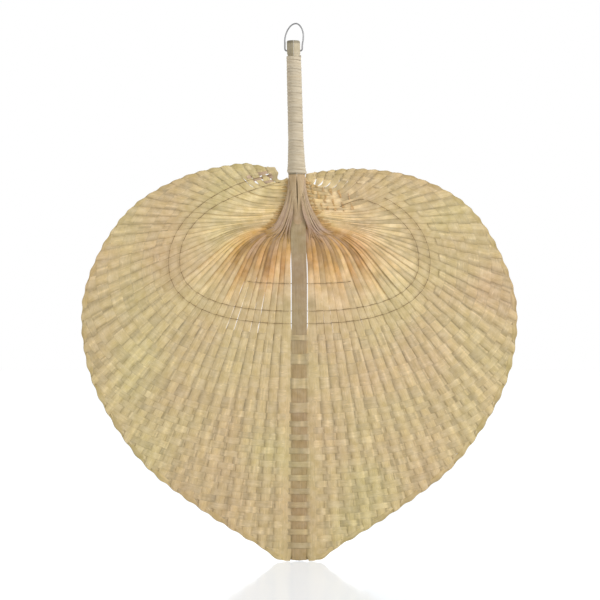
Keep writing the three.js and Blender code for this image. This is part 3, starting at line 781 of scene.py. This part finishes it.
def bamboo(name, stops, streak=(0.8, 1.16), tone=0.07, fleck=0.2, glint=0.0, blotch=0.08, roughness=(0.5, 0.68)):
    """Split bamboo. The stops colour it by its place along a rib, and its fibres and tone vary it."""
    material, tree, shader = new_material(name)
    fibre = node(tree, "ShaderNodeGroup", node_tree=FIBRE)
    feed(tree, fibre, {"Map": node(tree, "ShaderNodeUVMap").outputs["UV"]})
    coords = node(tree, "ShaderNodeTexCoord").outputs["Object"]
    patch = noise(tree, coords, scale=190, detail=3)
    wide_patch = noise(tree, coords, scale=13, detail=2)
    toned = vertex_value(tree, "tone")
    gains = [
        spread(tree, fibre.outputs["Streak"], *STREAK_RANGE, *streak),
        spread(tree, toned, -TONE_LIMIT, TONE_LIMIT, 1 - TONE_LIMIT * tone, 1 + TONE_LIMIT * tone),
        spread(tree, fibre.outputs["Fleck"], 0, 1, 1, 1 - fleck),
        spread(tree, fibre.outputs["Glint"], 0, 1, 1, 1 + glint),
        spread(tree, patch, *PATCH_RANGE, 1 - blotch, 1 + blotch),
    ]
    value = gains[0]
    for gain in gains[1:]:
        value = math_node(tree, "MULTIPLY", value, gain)
    colour = node(tree, "ShaderNodeHueSaturation", {
        "Color": ramp(tree, vertex_value(tree, "place"), stops),
        "Hue": spread(tree, wide_patch, *PATCH_RANGE, *HUE_RANGE),
        "Saturation": spread(tree, patch, *PATCH_RANGE, *SATURATION_RANGE),
        "Value": value,
    })
    feed(tree, shader, {
        "Base Color": colour.outputs["Color"],
        "Roughness": spread(tree, fibre.outputs["Streak"], *STREAK_RANGE, *roughness),
        "Specular IOR Level": 0.35,
        "Normal": bump(tree, fibre.outputs["Relief"], distance=0.00012, strength=0.6),
    })
    return material


def thread_finish():
    material, tree, shader = new_material("dark_thread")
    lay = stretched_noise(tree, node(tree, "ShaderNodeUVMap").outputs["UV"], along=9, across=14, detail=2)
    feed(tree, shader, {
        "Base Color": ramp(tree, lay, THREAD_COLOURS),
        "Roughness": 0.8,
        "Normal": bump(tree, lay, distance=0.0001, strength=0.5),
    })
    return material


def cord_finish():
    material, tree, shader = new_material("grip_cord_fibre")
    vector = node(tree, "ShaderNodeUVMap").outputs["UV"]
    strands = stretched_noise(tree, vector, along=1.2, across=34, detail=3)
    soil = stretched_noise(tree, vector, along=0.5, across=3, detail=3)
    value = math_node(tree, "MULTIPLY", spread(tree, strands, *STREAK_RANGE, *CORD_STREAK),
                      spread(tree, vertex_value(tree, "tone"), -1, 1, *CORD_TONE))
    colour = node(tree, "ShaderNodeHueSaturation", {"Color": ramp(tree, soil, CORD_COLOURS), "Value": value})
    feed(tree, shader, {
        "Base Color": colour.outputs["Color"],
        "Roughness": 0.85,
        "Specular IOR Level": 0.2,
        "Normal": bump(tree, strands, distance=0.00025, strength=0.7),
    })
    return material


def wire_finish():
    material, tree, shader = new_material("steel_wire")
    marks = noise(tree, node(tree, "ShaderNodeTexCoord").outputs["Object"], scale=900, detail=3)
    feed(tree, shader, {
        "Base Color": ramp(tree, marks, WIRE_COLOURS),
        "Roughness": spread(tree, marks, *PATCH_RANGE, *WIRE_ROUGHNESS),
        "Metallic": 0.8,
    })
    return material


FINISHES = {
    "weft": bamboo("weft_bamboo", WEFT_COLOURS, streak=(0.86, 1.1), tone=0.08, fleck=0.26, glint=0.2),
    "edging": bamboo("edging_bamboo", EDGING_COLOURS, tone=0.09),
    "ribs": bamboo("rib_bamboo", RIB_COLOURS, tone=0.06, fleck=0.24, glint=0.18),
    "spine": bamboo("spine_bamboo", SPINE_COLOURS, streak=(0.74, 1.2), fleck=0.35),
    "culm": bamboo("culm_bamboo", CULM_SHADE_AND_LIGHT_COLOURS, streak=(0.8, 1.15), tone=0.12, fleck=0.3),
    "thread": thread_finish(),
    "cord": cord_finish(),
    "wire": wire_finish(),
}


# Ribs and neck

def lay_strand(rib, front):
    """Thin upper end of a rib, split from the neck's front (-1) or back (1), that runs out along the rib."""
    share = rib.index / len(ribs[rib.side])
    shares, outs, heights = zip(*STRAND_TOPS)
    out = np.interp(share, shares, outs) + draw(STRAND_TOP_OUT)
    z = np.interp(share, shares, heights) + draw(STRAND_TOP_DROP)
    _, levels, half_widths, half_depths = (np.array(values)[::-1] for values in zip(*NECK_RINGS))
    aside = min(1, out / np.interp(z, levels, half_widths))
    depth = front * np.interp(z, levels, half_depths) * math.sqrt(1 - aside**2)
    run = min(draw(STRAND_RUN) * (1 - STRAND_RUN_FALL * share), STRAND_RUN_MOST * rib.bent_length)
    end = rib.at(np.array([run - rib.bent_length]))[0]
    top_x = handle_x(z) + rib.side * out
    root_x = rib.root[0] + rib.side * draw(STRAND_ROOT_OUT)
    root_z = min(rib.root[1], z - STRAND_LEAST_FALL)
    line = spline([
        (top_x, depth, z),
        (top_x + (root_x - top_x) * STRAND_LEAN, STRAND_BELLY[0] * depth + front * STRAND_BELLY[1], (z + root_z) / 2),
        (root_x, front * draw(STRAND_ROOT_DEPTH), root_z),
        (end[0], front * STRAND_END_DEPTH, end[1]),
    ], np.arange(STRAND_STEPS) / STRAND_STEPS)
    t = np.linspace(0, 1, len(line))
    width = look_up(STRAND_WIDTHS, t) * draw(STRAND_WIDTH_SPREAD)
    *upper, (last, pale) = STRAND_PLACES
    place = look_up([*upper, (last, pale - STRAND_END_FALL * share)], t) + jitter(STRAND_PLACE_SPREAD)
    tone = draw(STRAND_TONE) * (1 - STRAND_TONE_FALL * share)
    return lay_sliver(rib.side, line, (width, width), np.zeros(len(line)), tone, place)


def lay_sliver(side, line, reach, turn, tone, place, full=1.0, edge_shade=1.0, longer=None, lit=0.0):
    """Flat-topped round sliver that reaches so far to its two sides of a line."""
    heading = np.gradient(line, axis=0)
    heading[:, 1] = 0
    heading = unit(heading)
    across = points_at(-heading[:, 2], 0, heading[:, 0]) * side
    back = np.array([0, 1, 0])
    wide = across * np.cos(turn)[:, None] + back * np.sin(turn)[:, None]
    thin = back * np.cos(turn)[:, None] - across * np.sin(turn)[:, None]
    middle = np.minimum(full * RIB_HALF_DEPTH, SLIVER_DEPTH[0] + SLIVER_DEPTH[1] * np.minimum(*reach))
    edge = np.minimum(RIB_EDGE, SLIVER_EDGE * middle)
    rings = []
    for share, face in RIB_SECTION:
        out = share * (reach[1] if share > 0 else reach[0])
        rise = edge + (middle - edge) * (1 - abs(share) ** RIB_ROUND)
        ring = line + wide * out[:, None] + face * thin * rise[:, None]
        rings.append(ring if longer is None else ring + heading * longer(across[-1, [0, 2]] * out[-1])[:, None])
    # Painted shade and highlights round the section, their strength dashed along the sliver, on top of its own tone
    dashes = edge_shade * (1 + wander(lengths(line), *EDGE_SHADE_DASHES))
    tones = tone + np.array(RIB_SECTION_SHADE)[:, None] * dashes + np.array(RIB_LIT_TONE)[:, None] * lit
    return roll_tube("sliver", np.stack(rings, 1), tones, place)


def lay_rib(rib):
    in_eye = np.linspace(-rib.bent_length, 0, RIB_EYE_STATIONS, endpoint=False)
    past_eye = np.linspace(0, rib.length - RIB_END, int(rib.length / RIB_WOVEN_STEP))
    distance = np.concatenate([in_eye, past_eye])
    inside = np.clip(-distance / rib.bent_length, 0, 1)
    woven = ease(*(FIRST_ROW_START + place for place in WOVEN_FROM), distance / rib.squeeze())
    free = between(*FREE_PART, inside)
    opened = lobe_opening(rib, distance)
    lift = free * (1 - opened) * jitter(RIB_LIFT)
    line = stand(rib.at(distance), np.where(distance > 0, rib_sway(rib, distance), 0) + lift)
    reach, lit = rib_reach(rib, distance, inside, woven, free, opened)
    turn = np.radians(RIB_TILT[rib.side] + free * jitter(RIB_TWIST)) * (1 - woven)
    trim = ease(rib.length - RIB_TRIM, rib.length - RIB_END, distance)

    def longer(aside):
        past = distance_to_rim(rib.side, rib.start + aside, rib.heading) - rib.length
        return trim * np.clip(past, *RIB_TRIM_LIMITS)

    warm = ease(look_up(WARM_FROM, rib.index), draw(WARM_TO), inside) ** WARM_RISE
    place = np.clip(WARM_MOST * warm + jitter(WARM_SPREAD) * free, 0, 1)
    place *= 1 - LOBE_PALENESS * ease(*LOBE_PALE_RIBS, rib.index)
    crook = between(*CROOK_PART, inside)
    flank = between(*FLANK_RIBS, rib.index) * free
    tone = jitter(1) * (1 + FREE_TONE * free) + wander(distance, *RIB_STREAK)
    tone += opened * wander(distance, *OPEN_STREAK)
    # Painted glints and shade along the ribs in the eye
    tone += free * wander(distance, *EYE_GLINT_AND_SHADE_STREAK[rib.side])
    # Painted highlights and shade on the crook's bent ribs
    tone += crook * (jitter(CROOK_LIGHT_AND_SHADE) + wander(distance, *CROOK_LIGHT_AND_SHADE_STREAK))
    # Painted shade at the rib's edges: full in the weave, more in the crook and on the flanks
    edge_shade = RIB_EDGE_SHADE[0] + RIB_EDGE_SHADE[1] * woven + CROOK_EDGE_SHADE * crook + FLANK_EDGE_SHADE * flank
    full = RIB_EYE_THICKNESS + (1 - RIB_EYE_THICKNESS) * woven
    return lay_sliver(rib.side, line, reach, turn, tone, place, full, edge_shade, longer, lit)


def rib_reach(rib, distance, inside, woven, free, opened):
    """How far a rib reaches to its two sides, and how strongly its edge towards the spine is lit."""
    last = len(ribs[rib.side])
    fill = RIB_EYE_FILL + (RIB_WOVEN_FILL - RIB_EYE_FILL) * woven + free * draw(RIB_FILL_SPREAD)
    opening = 1 - opened * LOOSE_FILL[rib.side] * (1 + wander(distance, *OPEN_DASHES))
    fills = fill * opening, fill * (1 if rib.index == last else opening)
    end = 1 - RIB_END_TAPER[0] * ease(rib.length - RIB_END_TAPER[1], rib.length, distance)
    limits = [RIB_ROOM if rib.index == end_rib else RIB_ROOM + (RIB_WOVEN_WIDTH / 2 - RIB_ROOM) * woven
              for end_rib in (1, last)]
    least = RIB_LEAST_REACH[0] + RIB_LEAST_REACH[1] * ease(*ROOT_PART, inside)
    inner, outer = (np.clip(share * room, least, limit) * end
                    for share, room, limit in zip(fills, half_rooms(rib, distance), limits))
    lit = (1 - ease(*LIT_RIBS, rib.index)) * (1 - ease(*LIT_INSIDE, inside)) * (1 - ease(*LIT_OUTSIDE, distance))
    lit = lit * draw(LIT_TONE) * (1 + wander(distance, *LIT_DASHES))
    if rib.index == 1:
        inner = inner + FIRST_RIB_TUCK * woven
    else:
        inner = inner - LIT_GAP * np.maximum(lit, 0) * (1 - woven)
    return (inner, outer), lit


def lobe_opening(rib, distance):
    """1 where a rib beside the neck lies open, 0 elsewhere."""
    first, start, stop, _ = LOOSE[rib.side]
    along = distance + rib.bent_length if rib.side > 0 else distance
    opened = between((start, start + OPEN_RISE), (stop - OPEN_FALL, stop), along)
    return ease(first - OPEN_RIBS, first + OPEN_RIBS, rib.index) * opened


def lay_loose_strip(side, strip, cross):
    """Short strip over and under the open ribs beside the neck, placed from their roots on the right."""
    first = LOOSE[side][0] + chance.integers(0, 2)
    from_root = side > 0
    crossed = [rib for rib in ribs[side][first - 1:] if not from_root or rib.bent_length > cross + LOOSE_CLEAR]

    def edge(place):
        return np.array([rib.at(place - from_root * rib.bent_length + jitter(LOOSE_UNEVEN)) for rib in crossed])

    low, high = edge(cross - LOOSE_WIDTH[side] / 2), edge(cross + LOOSE_WIDTH[side] / 2)
    number = np.array([rib.index for rib in crossed])
    faces = np.where((number + strip) % LOOSE_BEAT[side], -1.0, 1.0)
    section = np.array(LOOSE_SECTION).T[..., None]
    points = strip_points(low, high, number, faces, RIB_EDGE + WEFT_HALF_DEPTH, section)
    tone = LOOSE_TONE[side] + wander(np.arange(points.shape[1]), *LOOSE_STREAK)
    return lay_strip(f"loose_{side}_{strip}", points, tone, LOOSE_PLACE[side])


def make_rib_fan(side, hand):
    strips = [lay_loose_strip(side, strip, cross) for strip, cross in enumerate(LOOSE[side][-1])]
    strands = [lay_strand(rib, front) for rib in ribs[side] for front in ((-1, 1) if rib.index % 2 else (-1,))]
    fan = [*map(lay_rib, ribs[side]), *strands, *strips]
    # The neck's core, and behind its strands a dark web that is painted shade
    neck = [roll_tube("neck", np.array([half_round(side, *ring) for ring in rings]), *look)
            for rings, look in ((NECK_RINGS, CORE_LOOK), (SHADE_WEB_RINGS, SHADE_WEB_LOOK))]
    for name, parts in (("ribs", fan), ("neck_core_and_shade_web", neck)):
        dress(join(f"{hand}_{name}", parts), "ribs", f"{hand}_rib_fan")


def half_round(side, slit, z, half_width, half_depth):
    """Half of a round section, with half of the slit at its flat side."""
    angle = np.linspace(-math.pi / 2, math.pi / 2, HALF_ROUND_STEPS)
    out = slit / 2 + (half_width - slit / 2) * np.cos(angle)
    return points_at(handle_x(z) + side * out, half_depth * np.sin(angle), z)


# Spine

def make_spine():
    z = np.linspace(SPINE_TOP_Z, SPINE_START_Z - SPINE_LENGTH, SPINE_STATIONS)
    shares = np.array(SPINE_SECTION)[:, None]
    crown = -SPINE_CROWN * (1 - np.abs(shares) ** SPINE_CROWN_POWER)
    points = points_at(handle_x(z) + shares * spine_half_width(z), crown, z)
    place = ease(0, SPINE_TAPER_LENGTH, SPINE_START_Z - z)
    spine = lay_strip("spine_strip", points, wander(z, *SPINE_STREAK), place, thickness=2 * SPINE_HALF_DEPTH)
    dress(spine, "spine", "central_spine")


# Weave

def crossings(last, edges_at, spine_edges):
    """Where a strip's two edges cross the ribs and the spine (0), left to right, and their numbers."""
    left, right = ([[rib.at(edge) for edge in edges_at(rib)] for rib in ribs[side][:last(side)]] for side in SIDES)
    pairs = np.array([*left[::-1], [spine_point(edge) for edge in spine_edges], *right])
    number = np.array([*range(len(left), 0, -1), *range(len(right) + 1)])
    return pairs[:, 0], pairs[:, 1], number


def weave_depth(middle, spine, faces, edge, crown=RIB_HALF_DEPTH - RIB_EDGE):
    """Depth along a strip that passes each rib on its front (-1) or back (1), and through between two."""
    gaps = np.linalg.norm(np.diff(middle, axis=0), axis=1)
    half = RIB_WOVEN_FILL / 2 * np.minimum(np.append(gaps, gaps[-1]), np.insert(gaps, 0, gaps[0]))
    half = np.where(spine, SPINE_WIDTH / 2, np.minimum(half, RIB_WOVEN_WIDTH / 2))
    edge = np.where(spine, SPINE_HALF_DEPTH + edge - RIB_EDGE, edge)
    parts = []
    for i, gap in enumerate(gaps):
        near, far = (faces[j] * (edge[j] + crown * (1 - np.clip(away * gap / half[j], 0, 1) ** RIB_ROUND))
                     for j, away in ((i, STEP_SHARES), (i + 1, 1 - STEP_SHARES)))
        low = min(half[i] / gap, STEP_LATEST)
        high = max(low + STEP_LEAST, 1 - half[i + 1] / gap)
        parts.append(near + (far - near) * ease(low, high, STEP_SHARES))
    return np.concatenate([*parts, faces[-1:] * (edge[-1] + crown)])


def strip_section(slivers):
    """Shares across a row and their depths: slivers side by side, with grooves between."""
    shares = [(sliver + share) / slivers for sliver in range(slivers) for share, _ in SLIVER_SECTION]
    depths = [depth for _, depth in SLIVER_SECTION] * slivers
    shares[0], shares[-1] = 0, 1
    return np.array(shares)[:, None], np.array(depths)[:, None]


def strip_points(inner, outer, number, faces, edge, section):
    """Points across and along a strip, woven over and under the ribs and the spine (0)."""
    depth = weave_depth((inner + outer) / 2, number == 0, faces, edge)
    low, high = spline(inner, STEP_SHARES), spline(outer, STEP_SHARES)
    shares, depths = section
    flat = low[None] + (high - low)[None] * shares[..., None]
    return stand(flat, depth + depths)


def lay_row(row):
    start, end = ROW_EDGES[row:row + 2]

    def last(side):
        short = (rib.index for rib in ribs[side][1:] if rib.room() <= start * rib.squeeze() - ROW_OVERRUN)
        return next(short, len(ribs[side]) + 1) - 1

    pinch = SPINE_PINCH * (end - start) * (row_face(row, 0) < 0)
    inner, outer, number = crossings(last, lambda rib: row_edges_at(row, rib), (start + pinch, end - pinch))
    faces = np.array([row_face(row, index) for index in number], float)
    inner, outer, number, faces = run_out(last, (start, end), inner, outer, number, faces)
    edge = RIB_EDGE + WEFT_HALF_DEPTH + CLEARANCE - RIB_SWAY
    slivers = WIDE_SLIVERS if 0 < row <= WIDE_ROW_COUNT else NARROW_SLIVERS
    points = strip_points(inner, outer, number, faces, edge, strip_section(slivers))
    steps = points.shape[1]
    # Painted highlight over the ribs and painted shade in the valleys between them
    crest_and_valley_shade = np.append(np.outer(chance.uniform(*CREST_AND_VALLEY_SPREAD, len(number) - 1), CREST_AND_VALLEY_SHADE), 0)
    # Random dashes: the bright ones are painted highlights, the dark ones darken the weft
    dashes = chance.choice(HIGHLIGHT_AND_DARK_DASHES, steps, p=DASH_CHANCES)
    stain = np.repeat(np.append(number, -1) == 0, len(STEP_SHARES))
    stain = np.roll(stain, -len(STEP_SHARES) // 2)[:steps] * SPINE_STAIN
    streak = jitter(ROW_TONE) + wander(np.arange(steps), *ROW_STREAK)
    tone = np.tile(streak - stain + crest_and_valley_shade + dashes, (len(points), 1))
    for border in (0, -1):
        tone[border] += ROW_EDGE_TONE * (1 + wander(np.arange(steps), *ROW_EDGE_DASHES))
    return lay_strip(f"woven_row_{row + 1:02d}", points, tone)


def run_out(last, edges, inner, outer, number, faces):
    """Adds a row's slanting ends, which run in under the edging past its last ribs."""
    for side in SIDES:
        index = last(side)
        if index == len(ribs[side]):
            continue
        pair = ribs[side][index - 1:index + 1]
        tips = []
        for edge in edges:
            room, next_room = (rib.cover() - edge * rib.squeeze() for rib in pair)
            share = RUN_OUT * max(room, RUN_OUT_LEAST) / max(room - next_room, room, RUN_OUT_LEAST)
            leave, arrive = (rib.at(min(edge * rib.squeeze(), rib.cover())) for rib in pair)
            tips.append(leave + (arrive - leave) * share)
        end = 0 if side < 0 else len(number)
        inner = np.insert(inner, end, tips[0], axis=0)
        outer = np.insert(outer, end, tips[1], axis=0)
        number = np.insert(number, end, -1)
        faces = np.insert(faces, end, 0.0)
    return inner, outer, number, faces


def make_edging():
    spine_edges = SPINE_LENGTH - EDGING_INSET - EDGING_WIDTH, SPINE_LENGTH + EDGING_PAST_SPINE
    inner, outer, number = crossings(RIBS_LAID.get,
                                     lambda rib: (rib.room() + EDGING_START, rib.length + EDGING_PAST), spine_edges)
    faces = np.where(number % 2 == 0, 1.0, -1.0)
    edge = RIB_EDGE + WEFT_HALF_DEPTH + CLEARANCE
    points = strip_points(inner, outer, number, faces, edge, strip_section(NARROW_SLIVERS))
    wave = np.append(np.tile(1 - np.cos(2 * math.pi * STEP_SHARES), len(number) - 1), 0)[:, None]
    shares = np.linspace(0, 1, len(points))[:, None]
    points -= shares[..., None] * SCALLOP / 2 * wave * unit(points[-1] - points[0])
    tone = wander(np.arange(points.shape[1]), *EDGING_STREAK) - EDGING_SHADE * ease(EDGING_SHADE_FROM, 1, shares)
    dress(lay_strip("rim_edging", points, tone), "edging", "edging_strip")


# Threads, twined in pairs round the ribs

def rings_along(line, radius, sides):
    """Round sections square to a line."""
    heading = unit(np.gradient(line, axis=0))
    across = unit(np.cross(heading, [0, 1, 0]))
    up = np.cross(across, heading)
    angle = np.arange(sides) * 2 * math.pi / sides
    return line[:, None] + radius * (across[:, None] * np.cos(angle)[:, None] + up[:, None] * np.sin(angle)[:, None])


def make_threads():
    for name, (inset, left, right) in THREADS.items():
        strands = []
        for phase, radius in enumerate(THREAD_RADII):
            place = -inset + (phase - 0.5) * THREAD_RADII[0]
            points, _, number = crossings({-1: left, 1: right}.get, lambda rib: (place, place), (place, place))
            faces = np.where((number == 0) | ((number + phase) % 2 == 1), 1.0, -1.0)
            depth = weave_depth(points, number == 0, faces, RIB_HALF_DEPTH + THREAD_LIFT, THREAD_CROWN)
            line = stand(spline(points, STEP_SHARES), depth)
            owner, tail, front = THREAD_TAIL
            if name == owner and phase == 0:
                tail = spline([line[-1], *((x, front, z) for x, z in tail)], np.arange(TAIL_STEPS) / TAIL_STEPS)
                line = np.concatenate([line, tail[1:]])
            strands.append(roll_tube(f"{name}_{phase}", rings_along(line, radius, THREAD_SIDES)))
        dress(join(f"{name}_twine", strands), "thread", name, angle=80)


# Handle, grip and loop

def make_handle(side, hand):
    z, radius, tone = np.array(HANDLE_RINGS).T
    rings = np.array([half_round(side, SLIT, *ring) for ring in zip(z, radius, radius)])
    # Each half takes its painted shade or light from its place
    half = roll_tube(f"{hand}_handle", rings, tone, HANDLE_SHADE_PLACE[side])
    bpy.ops.mesh.primitive_cylinder_add(vertices=HOLE_SIDES, radius=HOLE_RADIUS * MM, depth=DRILL_LENGTH * MM,
                                        location=(handle_x(HOLE_Z) * MM, 0, HOLE_Z * MM), rotation=(0, math.pi / 2, 0))
    drill = bpy.context.object
    apply_modifier(half, "BOOLEAN", object=drill, operation="DIFFERENCE", solver="EXACT")
    bpy.data.objects.remove(drill)
    dress(half, "culm", f"{hand}_handle_half", angle=35)


def make_grip():
    def by_turn(low, high):
        """A chance value for each turn, with an even change to the next."""
        return np.interp(turn, np.arange(CORD_TURNS + 2), chance.uniform(low, high, CORD_TURNS + 2))

    pitch = GRIP_LENGTH / CORD_TURNS
    turn = np.arange(CORD_TURNS * CORD_STEPS + 1) / CORD_STEPS
    levels, radii, _ = zip(*HANDLE_RINGS)
    uneven = by_turn(-CORD_UNEVEN, CORD_UNEVEN)
    z = GRIP_TOP_Z - pitch / 2 - turn * (pitch * (CORD_TURNS - 1) / CORD_TURNS) + uneven * pitch
    radius = np.interp(z, levels, radii) + CORD_GAP + CORD_THICKNESS / 2 + by_turn(*CORD_SWELL)
    angle = 2 * math.pi * turn
    radial = points_at(np.cos(angle), np.sin(angle), 0)
    middle = radial * radius[:, None] + points_at(handle_x(z), 0, z)
    section = np.arange(CORD_SIDES) * 2 * math.pi / CORD_SIDES
    rings = (middle[:, None] + radial[:, None] * (CORD_THICKNESS / 2 * np.cos(section))[:, None]
             + points_at(0, 0, CORD_HALF_WIDTH * pitch * np.sin(section)))
    dress(roll_tube("grip_winding", rings, by_turn(-1, 1)), "cord", "grip_cord", angle=80)


def sweep(points):
    """Smooth curve from the first point to the last, which the others pull to themselves."""
    t = np.linspace(0, 1, CURVE_STEPS)[:, None]
    rows = [np.array(point, float) for point in points]
    while len(rows) > 1:
        rows = [(1 - t) * here + t * there for here, there in zip(rows, rows[1:])]
    return rows[0]


def make_loop():
    middle = handle_x(HOLE_Z)
    corner, arch, *others = map(sweep, LOOP_CURVES)
    flat = np.concatenate([
        [(middle - WIRE_END_GAP, HOLE_Z)], corner, arch, *(curve[1:] for curve in others),
        [(middle + WIRE_END_GAP, HOLE_Z)],
    ])
    loop = roll_tube("wire_loop", rings_along(stand(flat, 0), WIRE_RADIUS, WIRE_SIDES))
    dress(loop, "wire", "hanging_loop", body="loop", angle=60)


# Stage, light and camera

def make_stage():
    bpy.ops.mesh.primitive_plane_add(size=FLOOR_SIZE, location=(0, 0, FLOOR_Z))
    floor = bpy.context.object
    floor.name = "floor"
    material, tree, shader = new_material("white_floor")
    feed(tree, shader, {"Base Color": (0.85, 0.85, 0.85, 1), "Roughness": 0.12})
    glow = node(tree, "ShaderNodeEmission", FLOOR_GLOW)
    light = node(tree, "ShaderNodeLightPath")
    share = math_node(tree, "MULTIPLY", light.outputs["Is Camera Ray"], FLOOR_GLOW_SHARE)
    mixed = node(tree, "ShaderNodeMixShader", {0: share, 1: shader.outputs[0], 2: glow.outputs[0]})
    feed(tree, tree.nodes["Material Output"], {"Surface": mixed.outputs[0]})
    floor.data.materials.append(material)


def add_object(name, data, place):
    made = bpy.data.objects.new(name, data)
    bpy.context.scene.collection.objects.link(made)
    made.location = place
    return made


def make_light():
    world = bpy.data.worlds.new("studio")
    world.use_nodes = True
    bpy.context.scene.world = world
    tree = world.node_tree
    path = node(tree, "ShaderNodeLightPath")
    seen = math_node(tree, "MAXIMUM", path.outputs["Is Camera Ray"],
                     math_node(tree, "MAXIMUM", path.outputs["Is Glossy Ray"], path.outputs["Is Transmission Ray"]))
    strength = spread(tree, seen, 0, 1, WORLD_LIGHT, 1)
    feed(tree, tree.nodes["Background"], {"Color": (1, 1, 1, 1), "Strength": strength})
    for name, (place, size, power) in LAMPS.items():
        data = bpy.data.lights.new(name, "AREA")
        data.size = size
        data.energy = power
        lamp = add_object(name, data, place)
        aim = np.array([VIEW_CENTRE[0] * MM, 0, VIEW_CENTRE[1] * MM]) - np.array(place)
        lamp.rotation_euler = (math.acos(-aim[2] / np.linalg.norm(aim)), 0, math.atan2(aim[1], aim[0]) - math.pi / 2)


def make_camera():
    data = bpy.data.cameras.new("camera")
    data.lens = LENS
    data.sensor_width = SENSOR
    distance = FRAME_PIXELS * PIXEL * MM * LENS / SENSOR
    camera = add_object("camera", data, (VIEW_CENTRE[0] * MM, -distance, VIEW_CENTRE[1] * MM))
    camera.rotation_euler = (math.pi / 2, 0, 0)
    bpy.context.scene.camera = camera


bpy.context.scene.view_settings.view_transform = "Standard"
make_camera()
make_light()
make_stage()
for fan_side, fan_hand in HANDS:
    make_rib_fan(fan_side, fan_hand)
make_spine()
for weft_row in range(ROW_COUNT):
    dress(lay_row(weft_row), "weft", f"weft_strip_{weft_row + 1:02d}")
make_edging()
make_threads()
for fan_side, fan_hand in HANDS:
    make_handle(fan_side, fan_hand)
make_grip()
make_loop()
